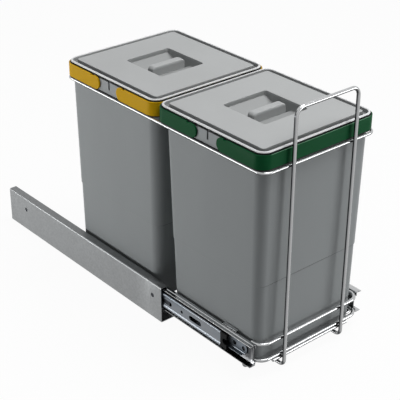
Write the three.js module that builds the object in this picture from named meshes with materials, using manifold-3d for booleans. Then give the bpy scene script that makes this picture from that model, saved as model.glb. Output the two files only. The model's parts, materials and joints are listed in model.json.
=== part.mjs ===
// Pull-out waste unit for a kitchen base cabinet: two lidded bins in a chrome wire basket
// that runs on a pair of three-part ball-bearing slides inside folded cover rails.
// Units are millimetres. +X is right seen from the front, the front faces -Y, +Z is up.
// The cover rails stand on z = 0 and the model is centred on the middle of its bounding box.

import * as THREE from 'three';
import { mergeVertices } from 'three/addons/utils/BufferGeometryUtils.js';
import Module from 'manifold-3d';

const wasm = await Module();
wasm.setup();

// ---------------------------------------------------------------- driving dimensions

// Overall: width over the cover rails, and length of the rails and of their slides
const OVERALL_WIDTH = 253;
const RAIL_LENGTH = 450;

// Fixed cover rails
const RAIL_SHEET = 1.5;
const RAIL_TOP_FLANGE = 14;
const RAIL_BASE_FLANGE = 27;
const RAIL_SCREW_HOLE_RADIUS = 2.6;
const RAIL_SCREW_HOLE_COUNT = 3;

// Ball-bearing slides
const SLIDE_HEIGHT = 35;
const SLIDE_SHEET = 1;
const SLIDE_DEPTH = 13.2;
const SLIDE_SETBACK = 0.5;
const INNER_SHEET = 1.2;
const INNER_SHORTER_THAN_RAIL = 30;
const INNER_SETBACK = 16.5;
const BALL_DIAMETER = 2.2;
const CAGE_LENGTH = 140;
const CAGE_BALLS = 4;
const OUTER_CAGE_SHEET = 0.3;
const INNER_CAGE_SHEET = 0.5;
const BUMPER_LENGTH = 14;
const BUMPER_WALL = 1.8;

// Slots and holes in the slide members, measured from the front end of each
const SLOTS_FROM_FRONT = [46, 118, 196, 330];
const SLOT_LENGTH = 29;
const SLOT_HEIGHT = 6;
const SMALL_HOLE_FROM_FRONT = 93;
const SMALL_HOLE_RADIUS = 2;
const NOSE_HOLES = [7.1, 27.4];
const NOSE_HOLE_RADIUS = 2.8;

// Rivets
const RIVET_RADIUS = 2.2;
const RIVET_HEAD_RADIUS = 3.6;
const RIVET_HEAD = 0.7;
const RIVET_RECESS = 0.5;
const RAIL_RIVET_FROM_FRONT = 22;
const RAIL_RIVET_FROM_REAR = 54;
const CHANNEL_RIVET_FROM_FRONT = 95;
const CHANNEL_RIVET_FROM_REAR = 70;

// Side channels of the basket and the clip plates on them
const CHANNEL_SHORTER_THAN_RAIL = 10;
const CHANNEL_BOTTOM = 23.6;
const CHANNEL_SHEET = 1.2;
const CHANNEL_EDGE_INSET = 5;
const CLIP_LENGTH = 30;
const CLIP_FROM_FRONT = 42;
const CLIP_WIDTH = 5;
const CLIP_OVERHANG = 3;
const CLIP_THICKNESS = 1.6;

// How far the basket is drawn out at rest, and what the middle members do for each millimetre
const PULLED_OUT = 205.5;
const MIDDLE_RATIO = 0.68;

// Wire basket
const WIRE_DIAMETER = 6;
const RING_WIRE_DIAMETER = 5;
const UPPER_WIRE_BELOW_CHANNEL_TOP = 3.5;
const LOWER_WIRE_ABOVE_CHANNEL_BOTTOM = 6.1;
const FRONT_WIRE_STANDOFF = 6.8;
const FRONT_WIRE_BEND = 17;
const FRONT_WIRE_ALONG_CHANNEL = 13;
const HOOP_HALF_SPAN = 62.1;
const HOOP_TOP_Z = 435;
const HOOP_TOP_BEND = 14;
const RUNNER_BEND = 10;
const RING_Z = 347.7;
const CROSS_BAR_HALF_LENGTH = 81;
const CRADLE_BEND = 6;
const CRADLE_WIRE_FROM_FRONT = 18;
const CRADLE_WIRE_FROM_REAR = 16;

// Bins and the coloured bands made of their swing handles
const BINS_LONGER_THAN_RAIL = 19.2;
const BAND_PAST_CHANNEL = 6.4;
const BAND_CORNER = 19;
const BAND_HEIGHT = 22.4;
const ARM_THICKNESS = 3;
const CROSSPIECE_THICKNESS = 1.8;
const HANDLE_TIP_FROM_CENTRE = 22;
const PIVOT_ABOVE_BAND_MIDDLE = 3;
const PIVOT_PIN_RADIUS = 4;
const PIVOT_PIN_LENGTH = 2;
const LEDGE_THICKNESS = 1.5;
const BIN_WALL = 2.2;
const BIN_FLOOR = 2.5;
const BIN_NECK_SIDE_INSET = 6.3;
const BIN_NECK_END_INSET = 4.9;
const BIN_NECK_CORNER_INSET = 1;
const BIN_FOOT_CORNER_INSET = 4;
const BIN_DRAFT = 5.8;
const BIN_STEP = 0.8;
const BIN_STEP_Z = 156;
const BIN_STEP_HEIGHT = 1.5;

// How much further in the front bin's rear wall stands at its neck, and leans in below it
const FRONT_BIN_REAR_INSET = 7.7;
const FRONT_BIN_REAR_DRAFT = 10;
const FOOT_ROUND = 3;
const RIM_BELOW_BAND = 0.7;
const SLIT_WIDTH = 1.2;
const SLIT_DEPTH = 14.5;

// Lids
const LID_TOP_ABOVE_BAND = 4;
const LID_RIM_THICKNESS = 4.4;
const LID_RIM_CHAMFER = 1.5;
const LID_SKIRT_INSET = 2.4;
const LID_SKIRT_DEPTH = 6.3;
const GROOVE_INSET = 4.8;
const GROOVE_WIDTH = 6.6;
const GROOVE_DEPTH = 6.7;
const LID_PANEL = 3;
const WELL_HALF_WIDTH = 44;
const WELL_FRONT = -45;
const WELL_REAR = 46.5;
const WELL_WALL = 2.4;
const GRIP_BAR_Y = -3;
const GRIP_BAR_THICKNESS = 14;
const GRIP_BAR_HALF_LENGTH = 33.5;
const GRIP_BAR_ABOVE_TOP = 0.8;

// Depths of the well's floor below the lid's top, from its front to its rear
const FRONT_POCKET_LIP = 5;
const FRONT_POCKET_SLOPE = 13;
const FRONT_POCKET_FLOOR = 15;
const FRONT_POCKET_FLOOR_LENGTH = 18;
const REAR_POCKET_FLOOR = 24;
const REAR_POCKET_FLOOR_LENGTH = 6;
const REAR_POCKET_LIP = 7.5;

// Named clearances
const SEAT_GAP = 0.3;
const HOLE_CLEARANCE = 0.3;
const BALL_CLEARANCE = 0.3;
const SLIDE_IN_RAIL_CLEARANCE = 0.2;
const OUTER_CAGE_CLEARANCE = 0.25;
const INNER_CAGE_CLEARANCE = 0.8;
const MEMBER_CLEARANCE = 0.7;
const INNER_EDGE_CLEARANCE = 1.6;
const CHANNEL_OVER_SLIDE = 0.55;
const CHANNEL_UNDER_RAIL = 2.4;
const RUNNER_FLOOR_CLEARANCE = 5.5;
const RING_SIDE_CLEARANCE = 0.7;
const RING_FRONT_CLEARANCE = 3.5;
const RING_REAR_CLEARANCE = 1.5;
const BAND_GAP = 1.6;
const BAND_CORNER_CLEARANCE = 0.6;
const RIM_END_CLEARANCE = 0.5;
const LID_SIDE_CLEARANCE = 0.6;
const LID_END_CLEARANCE = 1;

// How far a cutter runs past the faces that it cuts
const PAST = 1;

// Fineness of the facets
const WIRE_SIDES = 8;
const BEND_STEPS = 5;
const CORNER_STEPS = 6;
const SMALL_ROUND = 12;
const MEDIUM_ROUND = 16;
const LARGE_ROUND = 32;

// ---------------------------------------------------------------- derived places

const halfWidth = OVERALL_WIDTH / 2;
const wireRadius = WIRE_DIAMETER / 2;
const ringRadius = RING_WIRE_DIAMETER / 2;

// Heights of the slides, the channels over them and the rails over those
const channelHeight = SLIDE_HEIGHT + 2 * (CHANNEL_SHEET + CHANNEL_OVER_SLIDE);
const channelTop = CHANNEL_BOTTOM + channelHeight;
const railHeight = channelTop + CHANNEL_UNDER_RAIL + RAIL_SHEET;
const slideZ = channelTop - channelHeight / 2;
const ballRoom = BALL_DIAMETER + 2 * BALL_CLEARANCE;
const middleHeight = SLIDE_HEIGHT - 2 * (SLIDE_SHEET + ballRoom);
const innerHeight = middleHeight - 2 * (SLIDE_SHEET + ballRoom);

// Depths through the slide, measured inwards from the outside of the cover rail
const outerWebAt = RAIL_SHEET + SLIDE_IN_RAIL_CLEARANCE;
const outerCageAt = outerWebAt + SLIDE_SHEET + OUTER_CAGE_CLEARANCE;
const middleWebAt = outerCageAt + OUTER_CAGE_SHEET + OUTER_CAGE_CLEARANCE;
const innerCageAt = middleWebAt + SLIDE_SHEET + INNER_CAGE_CLEARANCE;
const innerWebAt = outerWebAt + SLIDE_DEPTH - INNER_SHEET;
const middleEdgeAt = innerWebAt - MEMBER_CLEARANCE;
const cageEdgeAt = middleEdgeAt - SLIDE_SHEET;
const innerEdgeAt = innerCageAt + INNER_CAGE_SHEET + INNER_EDGE_CLEARANCE;
const channelWebAt = innerWebAt + INNER_SHEET + SEAT_GAP;
const channelInside = halfWidth - channelWebAt - CHANNEL_SHEET;

// Lengths that follow the rails
const slideLength = RAIL_LENGTH - 2 * SLIDE_SETBACK;
const innerLength = RAIL_LENGTH - INNER_SHORTER_THAN_RAIL;
const channelLength = RAIL_LENGTH - CHANNEL_SHORTER_THAN_RAIL;
const railRivetPlaces = {
  front: RAIL_RIVET_FROM_FRONT,
  rear: RAIL_LENGTH - RAIL_RIVET_FROM_REAR,
};
const channelRivetPlaces = {
  front: CHANNEL_RIVET_FROM_FRONT,
  rear: channelLength - CHANNEL_RIVET_FROM_REAR,
};
const rearCradleY = channelLength - CRADLE_WIRE_FROM_REAR;
const cradleWirePlaces = {
  front: CRADLE_WIRE_FROM_FRONT,
  middle: (CRADLE_WIRE_FROM_FRONT + rearCradleY) / 2,
  rear: rearCradleY,
};

// Sizes of the bins, their bands, rims and lids in plan
const bandHalfWidth = channelInside + BAND_PAST_CHANNEL;
const bandHalfDepth = (RAIL_LENGTH + BINS_LONGER_THAN_RAIL - BAND_GAP) / 4;
const neckHalfWidth = bandHalfWidth - BIN_NECK_SIDE_INSET;
const neckHalfDepth = bandHalfDepth - BIN_NECK_END_INSET;
const neckCorner = BAND_CORNER - BIN_NECK_CORNER_INSET;
const footCorner = BAND_CORNER - BIN_FOOT_CORNER_INSET;
const armInside = bandHalfWidth - ARM_THICKNESS;
const crosspieceInside = bandHalfDepth - CROSSPIECE_THICKNESS;
const rimHalfWidth = armInside - SEAT_GAP;
const rimHalfDepth = crosspieceInside - RIM_END_CLEARANCE;
const lidHalfWidth = armInside - LID_SIDE_CLEARANCE;
const lidHalfDepth = crosspieceInside - LID_END_CLEARANCE;
const lidCorner = BAND_CORNER - ARM_THICKNESS;

// Basket places along Y, from the front end of the side channels
const hoopY = -FRONT_WIRE_STANDOFF - WIRE_DIAMETER - SEAT_GAP;
const ringFrontY = hoopY + wireRadius + ringRadius + SEAT_GAP;
const frontBinY = ringFrontY + ringRadius + RING_FRONT_CLEARANCE + neckHalfDepth;
const rearBinY = frontBinY + 2 * bandHalfDepth + BAND_GAP;
const ringRearY = rearBinY + neckHalfDepth + RING_REAR_CLEARANCE + ringRadius;
const ringSideX = neckHalfWidth + RING_SIDE_CLEARANCE + ringRadius;
const ringCorner = footCorner;

// Heights in the basket
const runnerZ = RUNNER_FLOOR_CLEARANCE + wireRadius;
const cradleZ = runnerZ + WIRE_DIAMETER + SEAT_GAP;
const upperWireZ = channelTop - UPPER_WIRE_BELOW_CHANNEL_TOP;
const lowerWireZ = CHANNEL_BOTTOM + LOWER_WIRE_ABOVE_CHANNEL_BOTTOM;
const crossBarZ = lowerWireZ - WIRE_DIAMETER - SEAT_GAP;
const binBottom = cradleZ + wireRadius + SEAT_GAP;
const ledgeBottom = RING_Z + ringRadius + SEAT_GAP;
const ledgeTop = ledgeBottom + LEDGE_THICKNESS;
const bandBottom = ledgeTop + SEAT_GAP;
const bandTop = bandBottom + BAND_HEIGHT;
const bandMiddle = (bandBottom + bandTop) / 2;
const pivotZ = bandMiddle + PIVOT_ABOVE_BAND_MIDDLE;
const pivotOffset = HANDLE_TIP_FROM_CENTRE + BAND_HEIGHT / 2;
const rimTop = bandTop - RIM_BELOW_BAND;
const lidTop = bandTop + LID_TOP_ABOVE_BAND;

// Along Y the front of the hoop and the rear end of the rails set the bounding box
const frontReach = PULLED_OUT - hoopY + wireRadius;
const railFrontY = (frontReach - RAIL_LENGTH) / 2;

// ---------------------------------------------------------------- finishes

const finish = (color, roughness, metalness) => () =>
  new THREE.MeshStandardMaterial({ color, roughness, metalness });
const galvanisedSteel = finish(0x9c9e9f, 0.5, 0.85);
const chromeWire = finish(0xc9ccce, 0.18, 1);
const slideSteel = finish(0xb4b8bb, 0.3, 0.95);
const blackPlastic = finish(0x1b1c1e, 0.55, 0);
const greyPlastic = finish(0x7f8484, 0.55, 0);
const lidPlastic = finish(0xb6b8b8, 0.5, 0);
const yellowPlastic = finish(0xcc9f2e, 0.5, 0);
const greenPlastic = finish(0x1c6238, 0.5, 0);

// ---------------------------------------------------------------- solid helpers

/** Turns a closed three.js geometry into a solid that can be cut and joined. */
function solidOf(geometry) {
  const bare = geometry.clone();
  bare.deleteAttribute('normal');
  bare.deleteAttribute('uv');
  const merged = mergeVertices(bare, 1e-4);
  return new wasm.Manifold(new wasm.Mesh({
    numProp: 3,
    vertProperties: new Float32Array(merged.attributes.position.array),
    triVerts: new Uint32Array(merged.index.array),
  }));
}

/** Turns a cut or joined solid back into a three.js geometry. */
function geometryOf(solid) {
  const mesh = solid.getMesh();
  const geometry = new THREE.BufferGeometry();
  geometry.setAttribute('position', new THREE.BufferAttribute(mesh.vertProperties, 3));
  geometry.setIndex(new THREE.BufferAttribute(mesh.triVerts, 1));
  return geometry;
}

/** Joins a list of solids into one. */
const joined = (solids) => solids.reduce((whole, piece) => whole.add(piece));

/** Cuts a list of solids out of one. */
const without = (solid, cutters) => cutters.reduce((left, cutter) => left.subtract(cutter), solid);

/** A box given by its lowest and highest corners. */
function box([x0, y0, z0], [x1, y1, z1]) {
  const geometry = new THREE.BoxGeometry(x1 - x0, y1 - y0, z1 - z0);
  geometry.translate((x0 + x1) / 2, (y0 + y1) / 2, (z0 + z1) / 2);
  return solidOf(geometry);
}

const shapeOf = (points) => new THREE.Shape(points.map(([u, v]) => new THREE.Vector2(u, v)));

/** A section drawn in X and Z, run along Y from y0 to y1. */
function runAlongY(points, y0, y1) {
  const geometry = new THREE.ExtrudeGeometry(shapeOf(points), { depth: y1 - y0, bevelEnabled: false });
  geometry.rotateX(Math.PI / 2);
  geometry.translate(0, y1, 0);
  return solidOf(geometry);
}

/** A section drawn in Y and Z, run along X from x0 to x1. */
function runAlongX(points, x0, x1) {
  const geometry = new THREE.ExtrudeGeometry(shapeOf(points), { depth: x1 - x0, bevelEnabled: false });
  const axes = new THREE.Matrix4().makeBasis(
    new THREE.Vector3(0, 1, 0),
    new THREE.Vector3(0, 0, 1),
    new THREE.Vector3(1, 0, 0),
  );
  geometry.applyMatrix4(axes);
  geometry.translate(x0, 0, 0);
  return solidOf(geometry);
}

/** A round pin along X between two depths, centred on (y, z). */
function pinAlongX(x0, x1, y, z, radius, sides = MEDIUM_ROUND) {
  const length = Math.abs(x1 - x0);
  const geometry = new THREE.CylinderGeometry(radius, radius, length, sides);
  geometry.rotateZ(Math.PI / 2);
  geometry.translate((x0 + x1) / 2, y, z);
  return solidOf(geometry);
}

/** A round pin along Z. */
function pinAlongZ(x, y, z0, z1, radius, sides = MEDIUM_ROUND) {
  const geometry = new THREE.CylinderGeometry(radius, radius, z1 - z0, sides);
  geometry.rotateX(Math.PI / 2);
  geometry.translate(x, y, (z0 + z1) / 2);
  return solidOf(geometry);
}

/** Corner points of a rectangle with round corners, anticlockwise seen from above. */
function roundedRectangle(halfX, halfY, radius) {
  const points = [];
  const corners = [[1, 1, 0], [-1, 1, 1], [-1, -1, 2], [1, -1, 3]];
  for (const [sx, sy, quarter] of corners) {
    for (let step = 0; step <= CORNER_STEPS; step++) {
      const angle = (quarter + step / CORNER_STEPS) * Math.PI / 2;
      points.push([
        sx * (halfX - radius) + radius * Math.cos(angle),
        sy * (halfY - radius) + radius * Math.sin(angle),
      ]);
    }
  }
  return points;
}

/** A closed surface through rounded rectangles { z, x, y, r, shiftY }, in the order given. */
function loft(sections) {
  const rings = sections.map(({ x, y, r }) => roundedRectangle(x, y, r));
  const count = rings[0].length;
  const positions = [];
  const add = (x, y, { z, shiftY = 0 }) => positions.push(x, y + shiftY, z);
  rings.forEach((ring, k) => ring.forEach(([x, y]) => add(x, y, sections[k])));
  const firstCentre = positions.length / 3;
  add(0, 0, sections[0]);
  add(0, 0, sections.at(-1));
  const index = [];
  for (let i = 0; i < count; i++) {
    const next = (i + 1) % count;
    for (let k = 0; k < rings.length - 1; k++) {
      const low = k * count;
      const high = low + count;
      index.push(low + i, low + next, high + next, low + i, high + next, high + i);
    }
    const last = (rings.length - 1) * count;
    index.push(firstCentre, next, i, firstCentre + 1, last + i, last + next);
  }
  const geometry = new THREE.BufferGeometry();
  geometry.setAttribute('position', new THREE.Float32BufferAttribute(positions, 3));
  geometry.setIndex(index);
  return solidOf(geometry);
}

/** A straight-sided rounded block from z0 to z1. */
const block = (halfX, halfY, radius, z0, z1) => loft([
  { z: z0, x: halfX, y: halfY, r: radius },
  { z: z1, x: halfX, y: halfY, r: radius },
]);

// ---------------------------------------------------------------- bent wire

/** The centre line of a bent wire: straight runs between corners, each corner a round bend. */
class BentWire extends THREE.Curve {
  constructor(corners, bends, closed = false) {
    super();
    this.stations = [];
    const points = corners.map(([x, y, z]) => new THREE.Vector3(x, y, z));
    const count = points.length;
    points.forEach((corner, i) => {
      if (!closed && (i === 0 || i === count - 1)) {
        this.stations.push(corner);
        return;
      }
      const back = points[(i + count - 1) % count].clone().sub(corner).normalize();
      const ahead = points[(i + 1) % count].clone().sub(corner).normalize();
      const radius = Array.isArray(bends) ? bends[i] : bends;
      const halfAngle = back.angleTo(ahead) / 2;
      const middle = back.clone().add(ahead).normalize();
      const centre = corner.clone().addScaledVector(middle, radius / Math.sin(halfAngle));
      const start = corner.clone().addScaledVector(back, radius / Math.tan(halfAngle));
      const axis = new THREE.Vector3().crossVectors(back, ahead).normalize();
      const turn = -(Math.PI - 2 * halfAngle);
      for (let step = 0; step <= BEND_STEPS; step++) {
        const arm = start.clone().sub(centre).applyAxisAngle(axis, turn * step / BEND_STEPS);
        this.stations.push(centre.clone().add(arm));
      }
    });
    this.loop = closed;
    if (closed) this.stations.push(this.stations[0].clone());
  }

  getPoint(t, target = new THREE.Vector3()) {
    const place = Math.min(Math.max(t, 0), 1) * (this.stations.length - 1);
    const before = Math.min(Math.floor(place), this.stations.length - 2);
    return target.lerpVectors(this.stations[before], this.stations[before + 1], place - before);
  }

  getPointAt(u, target) {
    return this.getPoint(u, target);
  }

  getSpacedPoints() {
    return this.stations.map((station) => station.clone());
  }

  getTangentAt(u, target = new THREE.Vector3()) {
    const last = this.stations.length - 1;
    const i = Math.round(Math.min(Math.max(u, 0), 1) * last);
    const wrap = this.loop && (i === 0 || i === last);
    const before = wrap ? last - 1 : Math.max(i - 1, 0);
    const after = wrap ? 1 : Math.min(i + 1, last);
    const here = this.stations[i];
    const arriving = here.clone().sub(this.stations[before]).normalize();
    const leaving = this.stations[after].clone().sub(here).normalize();
    return target.copy(arriving).add(leaving).normalize();
  }
}

/** A round wire bent along a row of corners. */
function wire(corners, radius, bends) {
  const path = new BentWire(corners, bends);
  const section = [];
  for (let side = 0; side < WIRE_SIDES; side++) {
    const angle = 2 * Math.PI * side / WIRE_SIDES;
    section.push([radius * Math.cos(angle), radius * Math.sin(angle)]);
  }
  return solidOf(new THREE.ExtrudeGeometry(shapeOf(section), {
    steps: path.stations.length - 1,
    extrudePath: path,
    bevelEnabled: false,
  }));
}

/** A round wire whose ends are welded into a closed ring. */
function closedWire(corners, radius, bend) {
  const path = new BentWire(corners, bend, true);
  return solidOf(new THREE.TubeGeometry(path, path.stations.length - 1, radius, WIRE_SIDES, true));
}

// ---------------------------------------------------------------- scene helpers

const unit = new THREE.Group();
const fixedSide = new THREE.Group();
const slidingBasket = new THREE.Group();
unit.add(fixedSide, slidingBasket);
fixedSide.position.y = railFrontY;
slidingBasket.position.y = railFrontY - PULLED_OUT;

/** Names a solid and hangs it in a group. */
function place(group, name, solid, material) {
  const mesh = new THREE.Mesh(geometryOf(solid), material());
  mesh.name = name;
  group.add(mesh);
}

const SIDES = [['left', -1], ['right', 1]];

/** X of a depth measured inwards from the outside of the cover rail on one side. */
const atDepth = (side, depth) => side * (halfWidth - depth);

/** The two X values between which a cutter goes right through a sheet at one depth. */
const throughSheet = (side, depth, sheet) =>
  [atDepth(side, depth - PAST), atDepth(side, depth + sheet + PAST)];

/** A folded channel: web at one depth, two flanges reaching to another, open on that side. */
function channelSection(side, webDepth, flangeDepth, sheet, bottom, top) {
  const towardsFlange = Math.sign(flangeDepth - webDepth);
  const web = atDepth(side, webDepth);
  const webInside = atDepth(side, webDepth + towardsFlange * sheet);
  const edge = atDepth(side, flangeDepth);
  return [
    [web, bottom], [edge, bottom], [edge, bottom + sheet], [webInside, bottom + sheet],
    [webInside, top - sheet], [edge, top - sheet], [edge, top], [web, top],
  ];
}

// ---------------------------------------------------------------- fixed side

for (const [name, side] of SIDES) {
  // Cover rail: web outside, narrow top flange, wide base flange that is screwed to the cabinet
  const web = atDepth(side, 0);
  const webInside = atDepth(side, RAIL_SHEET);
  const topEdge = atDepth(side, RAIL_TOP_FLANGE);
  const baseEdge = atDepth(side, RAIL_BASE_FLANGE);
  const rail = runAlongY([
    [web, 0], [baseEdge, 0], [baseEdge, RAIL_SHEET], [webInside, RAIL_SHEET],
    [webInside, railHeight - RAIL_SHEET], [topEdge, railHeight - RAIL_SHEET],
    [topEdge, railHeight], [web, railHeight],
  ], 0, RAIL_LENGTH);
  const screwX = atDepth(side, (channelWebAt + CHANNEL_SHEET + RAIL_BASE_FLANGE) / 2);
  const screwHoles = [];
  for (let k = 0; k < RAIL_SCREW_HOLE_COUNT; k++) {
    const y = RAIL_LENGTH * (k + 0.5) / RAIL_SCREW_HOLE_COUNT;
    screwHoles.push(pinAlongZ(screwX, y, -PAST, RAIL_SHEET + PAST, RAIL_SCREW_HOLE_RADIUS));
  }
  const railRivetHoles = Object.values(railRivetPlaces).map((y) =>
    pinAlongX(atDepth(side, -PAST), atDepth(side, RAIL_SHEET + PAST), y, slideZ,
      RIVET_HEAD_RADIUS + HOLE_CLEARANCE));
  place(fixedSide, `${name}_cover_rail`, without(rail, [...screwHoles, ...railRivetHoles]),
    galvanisedSteel);

  // Outer member of the slide, riveted inside the rail
  const outerSection = channelSection(side, outerWebAt, innerWebAt, SLIDE_SHEET,
    slideZ - SLIDE_HEIGHT / 2, slideZ + SLIDE_HEIGHT / 2);
  const outerRivetHoles = Object.values(railRivetPlaces).map((y) =>
    pinAlongX(...throughSheet(side, outerWebAt, SLIDE_SHEET), y, slideZ,
      RIVET_RADIUS + HOLE_CLEARANCE));
  place(fixedSide, `${name}_slide_outer`,
    without(runAlongY(outerSection, SLIDE_SETBACK, SLIDE_SETBACK + slideLength), outerRivetHoles),
    slideSteel);

  // Flush rivets, whose heads show as the two dimples on the outside of the rail
  for (const [end, y] of Object.entries(railRivetPlaces)) {
    const head = pinAlongX(atDepth(side, RIVET_RECESS), atDepth(side, RIVET_RECESS + RIVET_HEAD),
      y, slideZ, RIVET_HEAD_RADIUS);
    const shank = pinAlongX(atDepth(side, RIVET_RECESS + RIVET_HEAD / 2),
      atDepth(side, outerWebAt + SLIDE_SHEET), y, slideZ, RIVET_RADIUS, SMALL_ROUND);
    place(fixedSide, `${name}_${end}_rail_rivet`, head.add(shank), slideSteel);
  }
}

// ---------------------------------------------------------------- middle members and cages

const middleFront = -PULLED_OUT * MIDDLE_RATIO;
const middleBottom = slideZ - middleHeight / 2;
const middleTop = slideZ + middleHeight / 2;

/** A slot through the web of a slide member, with round ends, running along Y. */
function slot(x0, x1, y0, length, z, height) {
  const radius = height / 2;
  const ends = [y0 + radius, y0 + length - radius].map((y) => pinAlongX(x0, x1, y, z, radius, SMALL_ROUND));
  const [low, high] = [Math.min(x0, x1), Math.max(x0, x1)];
  return joined([...ends, box([low, y0 + radius, z - radius], [high, y0 + length - radius, z + radius])]);
}

/** A ball cage: a folded strip with a row of balls caught in each of its two flanges. */
function ballCage(side, webDepth, sheet, ballZ, centreY) {
  const section = channelSection(side, webDepth, cageEdgeAt, sheet,
    slideZ - ballZ - sheet / 2, slideZ + ballZ + sheet / 2);
  const strip = runAlongY(section, centreY - CAGE_LENGTH / 2, centreY + CAGE_LENGTH / 2);
  const ballX = atDepth(side, (webDepth + sheet + cageEdgeAt) / 2);
  const balls = [];
  for (let k = 0; k < CAGE_BALLS; k++) {
    for (const row of [-1, 1]) {
      const ball = new THREE.IcosahedronGeometry(BALL_DIAMETER / 2, 0);
      ball.translate(
        ballX,
        centreY + CAGE_LENGTH * ((k + 0.5) / CAGE_BALLS - 0.5),
        slideZ + row * ballZ,
      );
      balls.push(solidOf(ball));
    }
  }
  return joined([strip, ...balls]);
}

const outerBallZ = middleHeight / 2 + ballRoom / 2;
const innerBallZ = innerHeight / 2 + ballRoom / 2;
const outerCageY = RAIL_LENGTH / 2 - PULLED_OUT * MIDDLE_RATIO / 2;
const innerCageY = INNER_SETBACK + innerLength / 2 - PULLED_OUT * (1 + MIDDLE_RATIO) / 2;

for (const [name, side] of SIDES) {
  // Middle member with the slots that lighten its web
  const throughWeb = throughSheet(side, middleWebAt, SLIDE_SHEET);
  const slots = SLOTS_FROM_FRONT.map((y) =>
    slot(...throughWeb, middleFront + y, SLOT_LENGTH, slideZ, SLOT_HEIGHT));
  const smallHole = pinAlongX(...throughWeb, middleFront + SMALL_HOLE_FROM_FRONT, slideZ,
    SMALL_HOLE_RADIUS, SMALL_ROUND);
  const middle = runAlongY(
    channelSection(side, middleWebAt, middleEdgeAt, SLIDE_SHEET, middleBottom, middleTop),
    middleFront, middleFront + slideLength);
  place(fixedSide, `${name}_slide_middle`, without(middle, [...slots, smallHole]), slideSteel);

  // Black end bumper, a plastic collar on the front of the middle member
  const collar = runAlongY(
    channelSection(side, middleWebAt, middleEdgeAt, BUMPER_WALL, middleBottom, middleTop),
    middleFront - SEAT_GAP - BUMPER_LENGTH, middleFront - SEAT_GAP);
  place(fixedSide, `${name}_slide_bumper`, collar, blackPlastic);

  // Ball cages on both sides of the middle member
  place(fixedSide, `${name}_outer_ball_cage`,
    ballCage(side, outerCageAt, OUTER_CAGE_SHEET, outerBallZ, outerCageY), slideSteel);
  place(fixedSide, `${name}_inner_ball_cage`,
    ballCage(side, innerCageAt, INNER_CAGE_SHEET, innerBallZ, innerCageY), slideSteel);
}

// ---------------------------------------------------------------- basket: slides and channels

for (const [name, side] of SIDES) {
  const innerBottom = slideZ - innerHeight / 2;
  const innerTop = slideZ + innerHeight / 2;
  const shankHoles = (depth, sheet) => Object.values(channelRivetPlaces).map((y) =>
    pinAlongX(...throughSheet(side, depth, sheet), y, slideZ, RIVET_RADIUS + HOLE_CLEARANCE));

  // Inner member, with a round nose and two holes near it
  const nose = INNER_SETBACK + innerHeight / 2;
  const innerRear = INNER_SETBACK + innerLength;
  const straight = runAlongY(
    channelSection(side, innerWebAt + INNER_SHEET, innerEdgeAt, INNER_SHEET, innerBottom, innerTop),
    INNER_SETBACK, innerRear);
  const [deepX, shallowX] = [atDepth(side, innerWebAt + INNER_SHEET + PAST), atDepth(side, 0)];
  const noseKeep = joined([
    pinAlongX(deepX, shallowX, nose, slideZ, innerHeight / 2, LARGE_ROUND),
    box([Math.min(deepX, shallowX), nose, innerBottom - PAST],
      [Math.max(deepX, shallowX), innerRear + PAST, innerTop + PAST]),
  ]);
  const webHoles = NOSE_HOLES.map((y) =>
    pinAlongX(...throughSheet(side, innerWebAt, INNER_SHEET), INNER_SETBACK + y, slideZ,
      NOSE_HOLE_RADIUS));
  place(slidingBasket, `${name}_slide_inner`,
    without(straight.intersect(noseKeep), [...webHoles, ...shankHoles(innerWebAt, INNER_SHEET)]),
    slideSteel);

  // Side channel, open outwards, whose flanges reach over and under the slide
  const channel = runAlongY(
    channelSection(side, channelWebAt + CHANNEL_SHEET, CHANNEL_EDGE_INSET, CHANNEL_SHEET,
      CHANNEL_BOTTOM, channelTop),
    0, channelLength);
  place(slidingBasket, `${name}_side_channel`,
    without(channel, shankHoles(channelWebAt, CHANNEL_SHEET)), chromeWire);

  // Rivets that hold the inner member to the side channel
  for (const [end, y] of Object.entries(channelRivetPlaces)) {
    const outsideHead = innerWebAt - SEAT_GAP;
    const insideHead = channelWebAt + CHANNEL_SHEET + SEAT_GAP;
    const rivet = joined([
      pinAlongX(atDepth(side, outsideHead - RIVET_HEAD), atDepth(side, outsideHead), y, slideZ,
        RIVET_HEAD_RADIUS, SMALL_ROUND),
      pinAlongX(atDepth(side, outsideHead - RIVET_HEAD / 2), atDepth(side, insideHead + RIVET_HEAD / 2),
        y, slideZ, RIVET_RADIUS, SMALL_ROUND),
      pinAlongX(atDepth(side, insideHead), atDepth(side, insideHead + RIVET_HEAD), y, slideZ,
        RIVET_HEAD_RADIUS, SMALL_ROUND),
    ]);
    place(slidingBasket, `${name}_${end}_channel_rivet`, rivet, slideSteel);
  }

  // Clip plate that lies on the inner edge of the channel's top flange
  const clipEdge = channelInside - CLIP_OVERHANG;
  const clipX = [side * clipEdge, side * (clipEdge + CLIP_WIDTH)];
  place(slidingBasket, `${name}_channel_clip`,
    box([Math.min(...clipX), CLIP_FROM_FRONT, channelTop + SEAT_GAP],
      [Math.max(...clipX), CLIP_FROM_FRONT + CLIP_LENGTH, channelTop + SEAT_GAP + CLIP_THICKNESS]),
    chromeWire);
}

// ---------------------------------------------------------------- basket: wires

// Front wires run round the front, and their ends lie along the insides of the channel webs
const frontWireX = channelInside - SEAT_GAP - wireRadius;
for (const [name, z] of [['upper_front_wire', upperWireZ], ['lower_front_wire', lowerWireZ]]) {
  place(slidingBasket, name, wire([
    [-frontWireX, FRONT_WIRE_ALONG_CHANNEL, z],
    [-frontWireX, -FRONT_WIRE_STANDOFF, z],
    [frontWireX, -FRONT_WIRE_STANDOFF, z],
    [frontWireX, FRONT_WIRE_ALONG_CHANNEL, z],
  ], wireRadius, FRONT_WIRE_BEND), chromeWire);
}

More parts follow.
